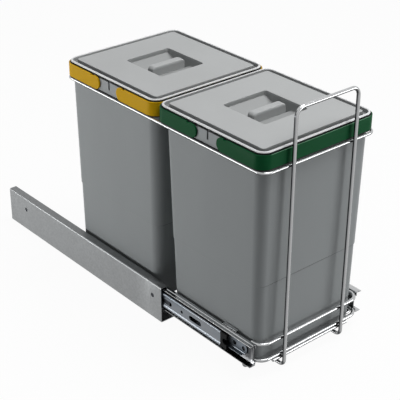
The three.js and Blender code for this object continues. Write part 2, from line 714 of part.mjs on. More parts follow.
// Short cross bar under the lower front wire, behind the legs of the hoop
place(slidingBasket, 'lower_cross_bar', wire([
  [-CROSS_BAR_HALF_LENGTH, -FRONT_WIRE_STANDOFF, crossBarZ],
  [CROSS_BAR_HALF_LENGTH, -FRONT_WIRE_STANDOFF, crossBarZ],
], wireRadius, 0), chromeWire);

// Hoop: top loop, front legs, runners under the basket and rear posts up to the ring
const postTop = RING_Z - ringRadius - SEAT_GAP;
place(slidingBasket, 'hoop_wire', wire([
  [-HOOP_HALF_SPAN, ringRearY, postTop],
  [-HOOP_HALF_SPAN, ringRearY, runnerZ],
  [-HOOP_HALF_SPAN, hoopY, runnerZ],
  [-HOOP_HALF_SPAN, hoopY, HOOP_TOP_Z],
  [HOOP_HALF_SPAN, hoopY, HOOP_TOP_Z],
  [HOOP_HALF_SPAN, hoopY, runnerZ],
  [HOOP_HALF_SPAN, ringRearY, runnerZ],
  [HOOP_HALF_SPAN, ringRearY, postTop],
], wireRadius, [
  0, RUNNER_BEND, RUNNER_BEND, HOOP_TOP_BEND, HOOP_TOP_BEND, RUNNER_BEND, RUNNER_BEND, 0,
]), chromeWire);

// Top ring under the rims of both bins
place(slidingBasket, 'top_ring_wire', closedWire([
  [-ringSideX, ringFrontY, RING_Z],
  [ringSideX, ringFrontY, RING_Z],
  [ringSideX, ringRearY, RING_Z],
  [-ringSideX, ringRearY, RING_Z],
], ringRadius, ringCorner), chromeWire);

// Cradle wires lie across the runners and turn up to the undersides of the channels
const cradleX = halfWidth - (CHANNEL_EDGE_INSET + channelWebAt) / 2;
const cradleEndZ = CHANNEL_BOTTOM - SEAT_GAP;
for (const [where, y] of Object.entries(cradleWirePlaces)) {
  place(slidingBasket, `${where}_cradle_wire`, wire([
    [-cradleX, y, cradleEndZ],
    [-cradleX, y, cradleZ],
    [cradleX, y, cradleZ],
    [cradleX, y, cradleEndZ],
  ], wireRadius, CRADLE_BEND), chromeWire);
}

// ---------------------------------------------------------------- bins

/** The bin's outside below the ledge, at one height. rearWall is how its rear wall differs. */
function binOutside(z, rearWall, inset = 0) {
  const share = (ledgeBottom - z) / (ledgeBottom - binBottom);
  const step = z < BIN_STEP_Z ? BIN_STEP : 0;
  const draft = (BIN_DRAFT - BIN_STEP) * share + step + inset;
  const corner = THREE.MathUtils.lerp(neckCorner, footCorner, share) - inset;
  const drawnIn = rearWall.inset + rearWall.draft * share;
  return {
    z,
    x: neckHalfWidth - draft,
    y: neckHalfDepth - draft - drawnIn / 2,
    r: corner,
    shiftY: -drawnIn / 2,
  };
}

/** A rounded rectangle set in from the outside of the coloured band. */
const fromBand = (z, insetX, insetY) => ({
  z,
  x: bandHalfWidth - insetX,
  y: bandHalfDepth - insetY,
  r: BAND_CORNER - insetX,
});

/** The moulded bin, standing on its own centre line. rearWall is how its rear wall differs. */
function binBody(rearWall) {
  const rimInset = [bandHalfWidth - rimHalfWidth, bandHalfDepth - rimHalfDepth];
  const mouthInset = rimInset.map((inset) => inset + BIN_WALL);
  const outside = (z, inset) => binOutside(z, rearWall, inset);
  const foot = outside(binBottom + FOOT_ROUND);
  const underFoot = {
    z: binBottom,
    x: foot.x - FOOT_ROUND,
    y: foot.y - FOOT_ROUND,
    r: foot.r - FOOT_ROUND,
    shiftY: foot.shiftY,
  };
  const shell = loft([
    underFoot,
    foot,
    outside(BIN_STEP_Z - BIN_STEP_HEIGHT),
    outside(BIN_STEP_Z),
    outside(ledgeBottom),
    fromBand(ledgeBottom, SEAT_GAP, SEAT_GAP),
    fromBand(ledgeTop, SEAT_GAP, SEAT_GAP),
    fromBand(ledgeTop, ...rimInset),
    fromBand(rimTop, ...rimInset),
    fromBand(rimTop, ...mouthInset),
    fromBand(ledgeTop + BIN_WALL, ...mouthInset),
    outside(ledgeBottom, BIN_WALL),
    outside(BIN_STEP_Z, BIN_WALL),
    outside(BIN_STEP_Z - BIN_STEP_HEIGHT, BIN_WALL),
    outside(binBottom + BIN_FLOOR, BIN_WALL),
  ]);
  const pins = [];
  const slits = [];
  for (const [, side] of SIDES) {
    for (const end of [-1, 1]) {
      pins.push(pinAlongX(side * (rimHalfWidth - BIN_WALL / 2), side * (rimHalfWidth + PIVOT_PIN_LENGTH),
        end * pivotOffset, pivotZ, PIVOT_PIN_RADIUS));
    }
    const slitX = [side * (rimHalfWidth - 2 * BIN_WALL), side * (rimHalfWidth + PAST)];
    slits.push(box([Math.min(...slitX), -SLIT_WIDTH / 2, rimTop - SLIT_DEPTH],
      [Math.max(...slitX), SLIT_WIDTH / 2, rimTop + PAST]));
  }
  return without(joined([shell, ...pins]), slits);
}

/** One half of the coloured band. end is -1 for the front handle and 1 for the rear one. */
function swingHandle(end) {
  const outside = block(bandHalfWidth, bandHalfDepth, BAND_CORNER, bandBottom, bandTop);
  const inside = block(armInside, crosspieceInside, lidCorner + BAND_CORNER_CLEARANCE,
    bandBottom - PAST, bandTop + PAST);
  const reach = [pivotOffset, bandHalfDepth + PAST].map((y) => end * y).sort((a, b) => a - b);
  const half = box([-bandHalfWidth - PAST, reach[0], bandBottom - PAST],
    [bandHalfWidth + PAST, reach[1], bandTop + PAST]);
  const roundEnds = SIDES.map(([, side]) => pinAlongX(side * armInside, side * bandHalfWidth,
    end * pivotOffset, bandMiddle, BAND_HEIGHT / 2, LARGE_ROUND));
  const recesses = SIDES.map(([, side]) => pinAlongX(side * (armInside - PAST),
    side * (armInside + PIVOT_PIN_LENGTH), end * pivotOffset, pivotZ,
    PIVOT_PIN_RADIUS + HOLE_CLEARANCE));
  return without(joined([outside.subtract(inside).intersect(half), ...roundEnds]), recesses);
}

/** The lid: bead round the edge, groove, flat panel and a well with a grip bar across it. */
function lidBody() {
  const inset = (amount, z) => ({
    z, x: lidHalfWidth - amount, y: lidHalfDepth - amount, r: lidCorner - amount,
  });
  const slab = (amount, z0, z1) => loft([inset(amount, z0), inset(amount, z1)]);
  const rimBottom = lidTop - LID_RIM_THICKNESS;
  const skirtBottom = rimBottom - LID_SKIRT_DEPTH;
  const rim = loft([
    inset(0, rimBottom),
    inset(0, lidTop - LID_RIM_CHAMFER),
    inset(LID_RIM_CHAMFER, lidTop),
  ]);
  const skirt = slab(LID_SKIRT_INSET, skirtBottom, rimBottom + PAST);
  const grooveInside = GROOVE_INSET + GROOVE_WIDTH;
  const groove = slab(GROOVE_INSET, lidTop - GROOVE_DEPTH, lidTop + PAST)
    .subtract(slab(grooveInside, lidTop - GROOVE_DEPTH - PAST, lidTop + 2 * PAST));
  const hollow = slab(grooveInside + WELL_WALL, skirtBottom - PAST, lidTop - LID_PANEL);
  const barFront = GRIP_BAR_Y - GRIP_BAR_THICKNESS / 2;
  const barRear = GRIP_BAR_Y + GRIP_BAR_THICKNESS / 2;
  // Floors of the two pockets, as heights below the lid's top
  const floor = [
    [WELL_FRONT, FRONT_POCKET_LIP],
    [barFront - FRONT_POCKET_FLOOR_LENGTH, FRONT_POCKET_SLOPE],
    [barFront, FRONT_POCKET_FLOOR],
    [barRear, REAR_POCKET_FLOOR],
    [barRear + REAR_POCKET_FLOOR_LENGTH, REAR_POCKET_FLOOR],
    [WELL_REAR, REAR_POCKET_LIP],
  ];
  const under = floor.map(([y, depth]) => [y, lidTop - depth - WELL_WALL]);
  const bowl = runAlongX([
    [WELL_FRONT - WELL_WALL, lidTop - LID_PANEL / 2],
    [WELL_FRONT - WELL_WALL, under[0][1]],
    ...under.slice(1, -1),
    [WELL_REAR + WELL_WALL, under.at(-1)[1]],
    [WELL_REAR + WELL_WALL, lidTop - LID_PANEL / 2],
  ], -WELL_HALF_WIDTH - WELL_WALL, WELL_HALF_WIDTH + WELL_WALL);
  const pocketFloor = floor.map(([y, depth]) => [y, lidTop - depth]);
  const pocket = runAlongX([
    [WELL_FRONT, lidTop + PAST], ...pocketFloor, [WELL_REAR, lidTop + PAST],
  ], -WELL_HALF_WIDTH, WELL_HALF_WIDTH);
  const bar = box([-GRIP_BAR_HALF_LENGTH, barFront, lidTop - REAR_POCKET_FLOOR - WELL_WALL / 2],
    [GRIP_BAR_HALF_LENGTH, barRear, lidTop + GRIP_BAR_ABOVE_TOP]);
  const tray = without(joined([rim, skirt]), [groove, hollow]);
  return tray.add(bowl).subtract(pocket).add(bar);
}

const likeTheFrontWall = { inset: 0, draft: 0 };
const drawnIn = { inset: FRONT_BIN_REAR_INSET, draft: FRONT_BIN_REAR_DRAFT };
const BINS = [
  ['rear', rearBinY, yellowPlastic, likeTheFrontWall],
  ['front', frontBinY, greenPlastic, drawnIn],
];
for (const [name, y, bandColour, rearWall] of BINS) {
  const binGroup = new THREE.Group();
  binGroup.position.y = y;
  slidingBasket.add(binGroup);
  place(binGroup, `${name}_bin`, binBody(rearWall), greyPlastic);
  place(binGroup, `${name}_bin_front_handle`, swingHandle(-1), bandColour);
  place(binGroup, `${name}_bin_rear_handle`, swingHandle(1), bandColour);
  place(binGroup, `${name}_bin_lid`, lidBody(), lidPlastic);
}

export default unit;
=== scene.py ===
"""Looks of a pull-out waste unit for a kitchen base cabinet.

Two lidded bins with coloured swing handles hang in a chrome wire basket. The basket runs on
ball-bearing slides inside folded cover rails. Sizes in the classes are in millimetres, and the
modelling tools turn them into metres.
"""

import json
import logging
import math
from contextlib import contextmanager
from dataclasses import dataclass
from enum import Enum
from typing import Callable, Iterator, Sequence

import bmesh
import bpy
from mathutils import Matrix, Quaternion, Vector


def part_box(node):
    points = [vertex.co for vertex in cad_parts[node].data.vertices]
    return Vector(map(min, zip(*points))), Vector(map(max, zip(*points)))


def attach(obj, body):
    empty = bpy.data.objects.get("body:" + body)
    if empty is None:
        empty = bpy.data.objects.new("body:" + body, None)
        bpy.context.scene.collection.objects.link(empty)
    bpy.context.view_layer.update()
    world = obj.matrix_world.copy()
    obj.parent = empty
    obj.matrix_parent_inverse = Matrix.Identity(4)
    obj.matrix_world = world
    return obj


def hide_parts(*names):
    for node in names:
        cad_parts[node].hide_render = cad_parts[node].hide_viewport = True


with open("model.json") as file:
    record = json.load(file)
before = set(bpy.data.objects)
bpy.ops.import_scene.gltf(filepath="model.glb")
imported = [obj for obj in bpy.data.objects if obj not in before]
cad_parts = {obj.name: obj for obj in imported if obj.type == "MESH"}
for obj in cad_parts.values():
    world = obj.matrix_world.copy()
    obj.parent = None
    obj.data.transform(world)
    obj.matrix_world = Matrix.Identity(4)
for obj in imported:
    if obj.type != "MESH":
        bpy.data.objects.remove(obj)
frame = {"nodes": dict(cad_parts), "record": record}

LOG = logging.getLogger("waste_unit")
MM = 0.001
RIGHT_ANGLE = math.pi / 2

# A surface looks at the front where its direction's Y is under the first, and no longer over the second
FRONT_FACING = (-0.95, -0.6)

# Fineness of round shapes
CORNER_STEPS = 12
WIRE_SIDES = 24
BEND_STEPS = 10
FOLD_STEPS = 4
SLOT_STEPS = 8
PIN_SIDES = 32

# How far a cutter reaches past what it cuts
CLEAR = 1.0

# Two places nearer than this are close together, or the same
NEAR = 0.1
SAME = 0.01

# A face looks along an axis where its normal's part along it is over this
FACING = 0.9

# Two faces meet at a corner where the product of their normals is under this
CORNER = 0.5

# A wire's ends are rounded by this share of its radius, and edges under this angle stay as they are
WIRE_END_ROUND = 0.24
WIRE_END_STEPS = 3
WIRE_EDGE_ANGLE = 50.0

# A rounding of this share of an edge's width makes a half circle of it
HALF_ROUND = 0.499


# ---------------------------------------------------------------- finishes


class Slot(Enum):
    """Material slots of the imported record."""

    GALVANISED = "galvanised_steel"
    SLIDE_STEEL = "slide_steel"
    CHROME = "chrome_wire"
    BLACK = "black_plastic"
    BIN = "grey_bin_plastic"
    LID = "grey_lid_plastic"
    YELLOW = "yellow_plastic"
    GREEN = "green_plastic"


class Mark(Enum):
    """Marks on a piece's points that its finish reads: a painted highlight, or painted shade."""

    RUBBED = "rubbed"
    DARKENED = "darkened"


def linear(red: int, green: int, blue: int) -> tuple[float, float, float, float]:
    """Turns a colour given as screen values from 0 to 255 into linear light.

    Args:
        red, green, blue: The colour as it shows on a screen.

    Returns:
        The linear colour with an alpha of 1.
    """

    def channel(value: int) -> float:
        """One channel's linear light."""
        share = value / 255
        return share / 12.92 if share <= 0.04045 else ((share + 0.055) / 1.055) ** 2.4

    return channel(red), channel(green), channel(blue), 1.0


class NodeBench:
    """A small bench for wiring one material's nodes."""

    def __init__(self, name: str) -> None:
        """Starts a material with an empty shader.

        Args:
            name: The material's name.
        """
        self.material = bpy.data.materials.new(name)
        self.material.use_nodes = True
        self.nodes = self.material.node_tree.nodes
        self.links = self.material.node_tree.links
        self.shader = self.nodes["Principled BSDF"]
        self.place = self.nodes.new("ShaderNodeTexCoord").outputs["Object"]

    def stretched(self, x: float, y: float, z: float) -> bpy.types.NodeSocket:
        """The place on the piece, scaled along each axis.

        Args:
            x, y, z: Factor along each axis.

        Returns:
            The scaled place.
        """
        mapping = self.nodes.new("ShaderNodeMapping")
        mapping.inputs["Scale"].default_value = (x, y, z)
        self.links.new(self.place, mapping.inputs["Vector"])
        return mapping.outputs["Vector"]

    def noise(self, scale: float, detail: float = 3.0,
              vector: bpy.types.NodeSocket | None = None) -> bpy.types.NodeSocket:
        """Soft noise.

        Args:
            scale: Waves per metre.
            detail: Number of finer octaves.
            vector: Where the noise is read, or the place on the piece.

        Returns:
            The noise value, around 0.5.
        """
        node = self.nodes.new("ShaderNodeTexNoise")
        node.inputs["Scale"].default_value = scale
        node.inputs["Detail"].default_value = detail
        self.links.new(vector or self.place, node.inputs["Vector"])
        return node.outputs["Fac"]

    def crystals(self, scale: float) -> bpy.types.NodeSocket:
        """One value for each grain of a zinc coating.

        Args:
            scale: Grains per metre.

        Returns:
            A value from 0 to 1, the same all over a grain.
        """
        cells = self.nodes.new("ShaderNodeTexVoronoi")
        cells.inputs["Scale"].default_value = scale
        self.links.new(self.place, cells.inputs["Vector"])
        split = self.nodes.new("ShaderNodeSeparateColor")
        self.links.new(cells.outputs["Color"], split.inputs["Color"])
        return split.outputs["Red"]

    def spread(self, value: bpy.types.NodeSocket, low: float, high: float,
               start: float = 0.3, end: float = 0.7) -> bpy.types.NodeSocket:
        """Maps a value that lies between start and end to the range from low to high.

        Args:
            value: The value.
            low, high: What it becomes at the start and at the end.
            start, end: Where the change starts and ends.

        Returns:
            The mapped value.
        """
        node = self.nodes.new("ShaderNodeMapRange")
        node.inputs["From Min"].default_value = start
        node.inputs["From Max"].default_value = end
        node.inputs["To Min"].default_value = low
        node.inputs["To Max"].default_value = high
        self.links.new(value, node.inputs["Value"])
        return node.outputs["Result"]

    def blend(self, share: bpy.types.NodeSocket, first: Sequence[float],
              second: Sequence[float]) -> bpy.types.NodeSocket:
        """A colour between two, by a share.

        Args:
            share: 0 for the first colour and 1 for the second.
            first, second: The colours.

        Returns:
            The colour between them.
        """
        node = self.nodes.new("ShaderNodeMix")
        node.data_type = "RGBA"
        node.inputs["A"].default_value = first
        node.inputs["B"].default_value = second
        self.links.new(share, node.inputs["Factor"])
        return node.outputs["Result"]

    def height_tone(self, colour: bpy.types.NodeSocket, heights: tuple[float, float],
                    below: float, above: float) -> bpy.types.NodeSocket:
        """Makes a colour lighter or darker by height on the piece.

        Args:
            colour: The colour to change.
            heights: Where the change starts and ends, in metres above the floor at rest.
            below: Factor under the first height.
            above: Factor over the second height.

        Returns:
            The changed colour.
        """
        split = self.nodes.new("ShaderNodeSeparateXYZ")
        self.links.new(self.place, split.inputs["Vector"])
        return self.scaled(colour, self.spread(split.outputs["Z"], below, above, *heights))

    def upward_tone(self, colour: bpy.types.NodeSocket, span: tuple[float, float],
                    factors: tuple[float, float]) -> bpy.types.NodeSocket:
        """Makes a colour lighter or darker by how far up the surface looks.

        Args:
            colour: The colour to change.
            span: Where the change starts and ends, from -1 for down to 1 for up.
            factors: Factor before the span and after it.

        Returns:
            The changed colour.
        """
        normal = self.nodes.new("ShaderNodeTexCoord").outputs["Normal"]
        split = self.nodes.new("ShaderNodeSeparateXYZ")
        self.links.new(normal, split.inputs["Vector"])
        return self.scaled(colour, self.spread(split.outputs["Z"], *factors, *span))

    def scaled(self, colour: bpy.types.NodeSocket,
               factor: bpy.types.NodeSocket) -> bpy.types.NodeSocket:
        """A colour times a factor.

        Args:
            colour: The colour.
            factor: The factor.

        Returns:
            The lighter or darker colour.
        """
        scale = self.nodes.new("ShaderNodeVectorMath")
        scale.operation = "SCALE"
        self.links.new(colour, scale.inputs["Vector"])
        self.links.new(factor, scale.inputs["Scale"])
        return scale.outputs["Vector"]

    def swapped(self, colour: bpy.types.NodeSocket, share: bpy.types.NodeSocket,
                other: Sequence[float]) -> bpy.types.NodeSocket:
        """Turns a colour into another one by a share.

        Args:
            colour: The colour to change.
            share: 0 to keep it and 1 to change it.
            other: The other colour.

        Returns:
            The changed colour.
        """
        node = self.nodes.new("ShaderNodeMix")
        node.data_type = "RGBA"
        node.inputs["B"].default_value = other
        self.links.new(colour, node.inputs["A"])
        self.links.new(share, node.inputs["Factor"])
        return node.outputs["Result"]

    def marked(self, colour: bpy.types.NodeSocket, kind: Mark,
               other: Sequence[float]) -> bpy.types.NodeSocket:
        """Turns a colour into another one where the piece carries a mark.

        Args:
            colour: The colour to change.
            kind: Which mark.
            other: The colour where the mark is 1.

        Returns:
            The changed colour.
        """
        mark = self.nodes.new("ShaderNodeAttribute")
        mark.attribute_name = kind.value
        return self.swapped(colour, mark.outputs["Fac"], other)

    def with_shade_lines(self, colour: bpy.types.NodeSocket, shade_lines: Sequence["Seam"],
               other: Sequence[float]) -> bpy.types.NodeSocket:
        """Paints thin level bands of shade, turning a colour into another one in them.

        Args:
            colour: The colour to change.
            shade_lines: The bands.
            other: The colour in the bands.

        Returns:
            The changed colour.
        """
        height = self.nodes.new("ShaderNodeSeparateXYZ")
        self.links.new(self.place, height.inputs["Vector"])
        facing = self.nodes.new("ShaderNodeSeparateXYZ")
        normal = self.nodes.new("ShaderNodeTexCoord").outputs["Normal"]
        self.links.new(normal, facing.inputs["Vector"])
        forwards = self.spread(facing.outputs["Y"], 1.0, 0.0, *FRONT_FACING)
        # Each band is painted shade, kept to faces that look to the front where it says so
        for seam_or_shade_line in shade_lines:
            inside = self.nodes.new("ShaderNodeMath")
            inside.operation = "COMPARE"
            inside.inputs[1].default_value = seam_or_shade_line.middle
            inside.inputs[2].default_value = seam_or_shade_line.reach
            self.links.new(height.outputs["Z"], inside.inputs[0])
            share = inside.outputs["Value"]
            if seam_or_shade_line.front_only:
                both = self.nodes.new("ShaderNodeMath")
                both.operation = "MULTIPLY"
                self.links.new(share, both.inputs[0])
                self.links.new(forwards, both.inputs[1])
                share = both.outputs["Value"]
            colour = self.swapped(colour, share, other)
        return colour

    def colour(self, socket: bpy.types.NodeSocket) -> None:
        """Gives the shader its base colour."""
        self.links.new(socket, self.shader.inputs["Base Color"])

    def roughness(self, socket: bpy.types.NodeSocket) -> None:
        """Gives the shader its roughness."""
        self.links.new(socket, self.shader.inputs["Roughness"])

    def relief(self, height: bpy.types.NodeSocket, depth: float) -> None:
        """Gives the surface a fine relief.

        Args:
            height: The height at each place, from 0 to 1.
            depth: Depth of the relief in metres.
        """
        bump = self.nodes.new("ShaderNodeBump")
        bump.inputs["Distance"].default_value = depth
        self.links.new(height, bump.inputs["Height"])
        self.links.new(bump.outputs["Normal"], self.shader.inputs["Normal"])


def shaded(colour: Sequence[float], factor: float) -> tuple[float, ...]:
    """A colour made lighter or darker by a factor."""
    return (*(min(1.0, value * factor) for value in colour[:3]), 1.0)


@dataclass(frozen=True)
class Seam:
    """A thin level line of painted shade: its middle and half height in metres above the floor at rest.
    """

    middle: float
    reach: float
    front_only: bool = False


@dataclass(frozen=True)
class MouldedPlastic:
    """Moulded plastic: an even colour, a fine spark-eroded grain and slight flow marks."""

    slot: Slot
    colour: tuple[float, float, float, float]
    roughness: float = 0.45
    sheen: float = 0.3
    duller: float = 0.07
    glossier: float = 0.05
    mottle: float = 0.03
    grain_depth: float = 0.00006
    grain_per_metre: float = 1400.0
    grain_detail: float = 2.0
    flow_per_metre: float = 9.0
    flow_detail: float = 4.0
    flow_upright: float = 0.35
    # Painted light and shade: a lighter or darker tone by height, a painted highlight, and painted
    # shade in gaps and thin lines
    tone_heights: tuple[float, float] = (0.0, 0.001)
    tone_below: float = 1.0
    tone_above: float = 1.0
    rubbed: tuple[float, float, float, float] | None = None
    shaded_gap: tuple[float, float, float, float] | None = None
    shade_lines: tuple[Seam, ...] = ()

    def material(self) -> bpy.types.Material:
        """Wires the nodes.

        Returns:
            The material.
        """
        bench = NodeBench(self.slot.value)
        flow = bench.noise(self.flow_per_metre, self.flow_detail,
                           bench.stretched(1.0, 1.0, self.flow_upright))
        grain = bench.noise(self.grain_per_metre, self.grain_detail)
        colour = bench.blend(bench.spread(flow, 0, 1), shaded(self.colour, 1 - self.mottle),
                             shaded(self.colour, 1 + self.mottle))
        # Painted light and shade by height on a one-colour moulding
        if self.tone_below != self.tone_above:
            colour = bench.height_tone(colour, self.tone_heights, self.tone_below, self.tone_above)
        # Painted highlight where the piece is marked
        if self.rubbed:
            colour = bench.marked(colour, Mark.RUBBED, self.rubbed)
        # Painted shade in marked gaps and in thin level lines
        if self.shaded_gap:
            colour = bench.marked(colour, Mark.DARKENED, self.shaded_gap)
            colour = bench.with_shade_lines(colour, self.shade_lines, self.shaded_gap)
        bench.colour(colour)
        bench.roughness(bench.spread(grain, self.roughness - self.glossier,
                                     self.roughness + self.duller))
        bench.relief(grain, self.grain_depth)
        bench.shader.inputs["Specular IOR Level"].default_value = self.sheen
        return bench.material


@dataclass(frozen=True)
class GalvanisedSheet:
    """Galvanised sheet: small zinc crystals of slightly different greys and a satin sheen."""

    slot: Slot
    colour: tuple[float, float, float, float]
    darken: tuple[float, float, float, float]
    contrast: float = 0.07
    crystals_per_metre: float = 330.0
    clouds_per_metre: float = 30.0
    cloud_detail: float = 5.0
    cloud_roughness: tuple[float, float] = (0.36, 0.52)
    grain_per_metre: float = 900.0
    grain_depth: float = 0.00003
    metal: float = 0.85

    def material(self) -> bpy.types.Material:
        """Wires the nodes.

        Returns:
            The material.
        """
        bench = NodeBench(self.slot.value)
        grain = bench.crystals(self.crystals_per_metre)
        cloud = bench.noise(self.clouds_per_metre, self.cloud_detail)
        colour = bench.blend(grain, shaded(self.colour, 1 - self.contrast),
                             shaded(self.colour, 1 + self.contrast))
        # Painted shade where the piece is marked, inside the rails' front openings
        bench.colour(bench.marked(colour, Mark.DARKENED, self.darken))
        bench.roughness(bench.spread(cloud, *self.cloud_roughness))
        bench.relief(bench.noise(self.grain_per_metre), self.grain_depth)
        bench.shader.inputs["Metallic"].default_value = self.metal
        return bench.material


@dataclass(frozen=True)
class RolledSteel:
    """Zinc-plated rolled steel: fine lines along the rolling direction and a blue passivation."""

    slot: Slot
    colour: tuple[float, float, float, float]
    blue: tuple[float, float, float, float]
    roughness: float = 0.34
    duller: float = 0.1
    glossier: float = 0.06
    lines_per_metre: tuple[float, float, float] = (500.0, 8.0, 500.0)
    tints_per_metre: tuple[float, float, float] = (40.0, 6.0, 40.0)
    line_depth: float = 0.000004
    prefix: str = ""

    def material(self) -> bpy.types.Material:
        """Wires the nodes.

        Returns:
            The material.
        """
        bench = NodeBench(self.prefix + self.slot.value)
        lines = bench.noise(1.0, vector=bench.stretched(*self.lines_per_metre))
        tint = bench.noise(1.0, vector=bench.stretched(*self.tints_per_metre))
        bench.colour(bench.blend(bench.spread(tint, 0, 1), self.colour, self.blue))
        bench.roughness(bench.spread(lines, self.roughness - self.glossier,
                                     self.roughness + self.duller))
        bench.relief(lines, self.line_depth)
        bench.shader.inputs["Metallic"].default_value = 1.0
        return bench.material


@dataclass(frozen=True)
class BrightChrome:
    """Bright chrome plate: mirror-like with faint smears, painted lighter on top and darker underneath,
    with a painted highlight and painted shade where marked.
    """

    slot: Slot
    colour: tuple[float, float, float, float]
    edge: tuple[float, float, float, float]
    darken: tuple[float, float, float, float]
    # Painted light: surfaces that look up are painted lighter, undersides painted dark
    upward: tuple[float, float] = (-0.5, 0.7)
    upward_tones: tuple[float, float] = (0.15, 2.2)
    smears_per_metre: float = 45.0
    smear_detail: float = 4.0
    smear_tone: float = 0.94
    smear_roughness: tuple[float, float] = (0.12, 0.2)
    dimples_per_metre: float = 700.0
    dimple_detail: float = 1.0
    dimple_depth: float = 0.000008

    def material(self) -> bpy.types.Material:
        """Wires the nodes.

        Returns:
            The material.
        """
        bench = NodeBench(self.slot.value)
        smear = bench.noise(self.smears_per_metre, self.smear_detail)
        colour = bench.blend(bench.spread(smear, 0, 1), shaded(self.colour, self.smear_tone),
                             self.colour)
        # Painted light and shade by how far up the surface looks
        colour = bench.upward_tone(colour, self.upward, self.upward_tones)
        # Painted highlight where marked
        colour = bench.marked(colour, Mark.RUBBED, self.edge)
        # Painted shade where marked
        bench.colour(bench.marked(colour, Mark.DARKENED, self.darken))
        bench.roughness(bench.spread(smear, *self.smear_roughness))
        bench.relief(bench.noise(self.dimples_per_metre, self.dimple_detail), self.dimple_depth)
        bench.shader.inputs["Metallic"].default_value = 1.0
        return bench.material


FINISHES = (
    # Its dark colour is painted shade inside the rails' front openings
    GalvanisedSheet(Slot.GALVANISED, linear(138, 140, 141), darken=linear(40, 41, 43)),
    RolledSteel(Slot.SLIDE_STEEL, linear(127, 129, 132), linear(108, 116, 124)),
    # Its light colour is a painted highlight on the channels' lips and the legs' lit sides; its dark
    # colour is painted shade inside the channels and on the legs' far sides
    BrightChrome(Slot.CHROME, linear(144, 145, 146), edge=linear(238, 238, 238),
                 darken=linear(34, 36, 40)),
    MouldedPlastic(Slot.BLACK, linear(18, 19, 20), roughness=0.5, sheen=0.08),
    # The bin is painted lighter above the ledge, as painted light on the rim wall; its thin dark lines
    # are painted shade at the step, the ledge and under the lid
    MouldedPlastic(Slot.BIN, linear(144, 148, 149), roughness=0.45, sheen=0.2,
                   tone_heights=(0.3500, 0.3525), tone_below=1.0, tone_above=1.15,
                   shaded_gap=linear(30, 31, 32),
                   shade_lines=(Seam(0.1557, 0.0006, front_only=True), Seam(0.3512, 0.0009),
                          Seam(0.3734, 0.0009))),
    # The lid is painted darker below its top, as painted shade in the groove, the well and under the
    # bead; its light colour is a painted highlight on the bead and its dark colour painted shade in the
    # gaps
    MouldedPlastic(Slot.LID, linear(184, 186, 186), roughness=0.4, sheen=0.3,
                   tone_heights=(0.3745, 0.3768), tone_below=0.82, tone_above=1.0,
                   rubbed=linear(228, 229, 230), shaded_gap=linear(24, 24, 25)),
    # The handles' light colours are painted highlights on the crosspiece tops, their dark colours
    # painted shade at the inner top edges
    MouldedPlastic(Slot.YELLOW, linear(205, 160, 12), roughness=0.45, sheen=0.06,
                   rubbed=linear(236, 224, 176), shaded_gap=linear(38, 32, 14)),
    MouldedPlastic(Slot.GREEN, linear(8, 74, 40), roughness=0.45, sheen=0.06,
                   rubbed=linear(104, 146, 118), shaded_gap=linear(6, 16, 10)),
)
GREASY_STEEL = RolledSteel(Slot.SLIDE_STEEL, linear(62, 64, 68), linear(44, 47, 52), roughness=0.4,
                           prefix="greasy_")


# ---------------------------------------------------------------- modelling tools


@dataclass(frozen=True)
class Ring:
    """A level outline: height, half sizes in X and Y, corner radius, middle along Y."""

    z: float
    x: float
    y: float
    r: float
    middle: float = 0.0

    def inset(self, amount: float, z: float) -> "Ring":
        """The same outline drawn in by an amount, at another height."""
        return Ring(z, self.x - amount, self.y - amount, self.r - amount, self.middle)

    def depth(self, x: float, y: float) -> float:
        """How far a point lies inside the outline.

        Args:
            x, y: The point's place.

        Returns:
            The distance, below 0 for a point outside.
        """
        past_x = abs(x) - (self.x - self.r)
        past_y = abs(y - self.middle) - (self.y - self.r)
        outside = math.hypot(max(past_x, 0.0), max(past_y, 0.0))
        return self.r - outside - min(max(past_x, past_y), 0.0)


class Mix(Enum):
    """Ways to combine two solids."""

    CUT = "DIFFERENCE"
    JOIN = "UNION"
    KEEP = "INTERSECT"


class Part(Enum):
    """What is picked in edit mode."""

    POINT = "VERT"
    EDGE = "EDGE"
    FACE = "FACE"


def metres(x: float, y: float, z: float) -> Vector:
    """A point given in millimetres, in metres."""
    return Vector((x, y, z)) * MM


def node_box(node: str) -> tuple[Vector, Vector]:
    """Lowest and highest corner of a fixed node, in millimetres."""
    low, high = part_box(node)
    return low / MM, high / MM


def take(piece: bpy.types.Object) -> None:
    """Makes a piece the only one that is selected, and the active one.

    Args:
        piece: The piece.
    """
    bpy.ops.object.select_all(action="DESELECT")
    piece.select_set(True)
    bpy.context.view_layer.objects.active = piece


def settle(name: str) -> bpy.types.Object:
    """Names the new primitive and puts its place and turn into its mesh.

    Args:
        name: Its name.

    Returns:
        The primitive.
    """
    piece = bpy.context.active_object
    piece.name = name
    piece.data.name = name
    take(piece)
    bpy.ops.object.transform_apply(location=True, rotation=True, scale=True)
    return piece


@contextmanager
def editing(piece: bpy.types.Object) -> Iterator[None]:
    """Edit mode on one piece, with nothing selected at the start.

    Args:
        piece: The piece.

    Returns:
        A context that ends back in object mode.
    """
    take(piece)
    bpy.ops.object.mode_set(mode="EDIT")
    bpy.ops.mesh.select_mode(type=Part.POINT.value)
    bpy.ops.mesh.select_all(action="DESELECT")
    try:
        yield
    finally:
        bpy.ops.object.mode_set(mode="OBJECT")


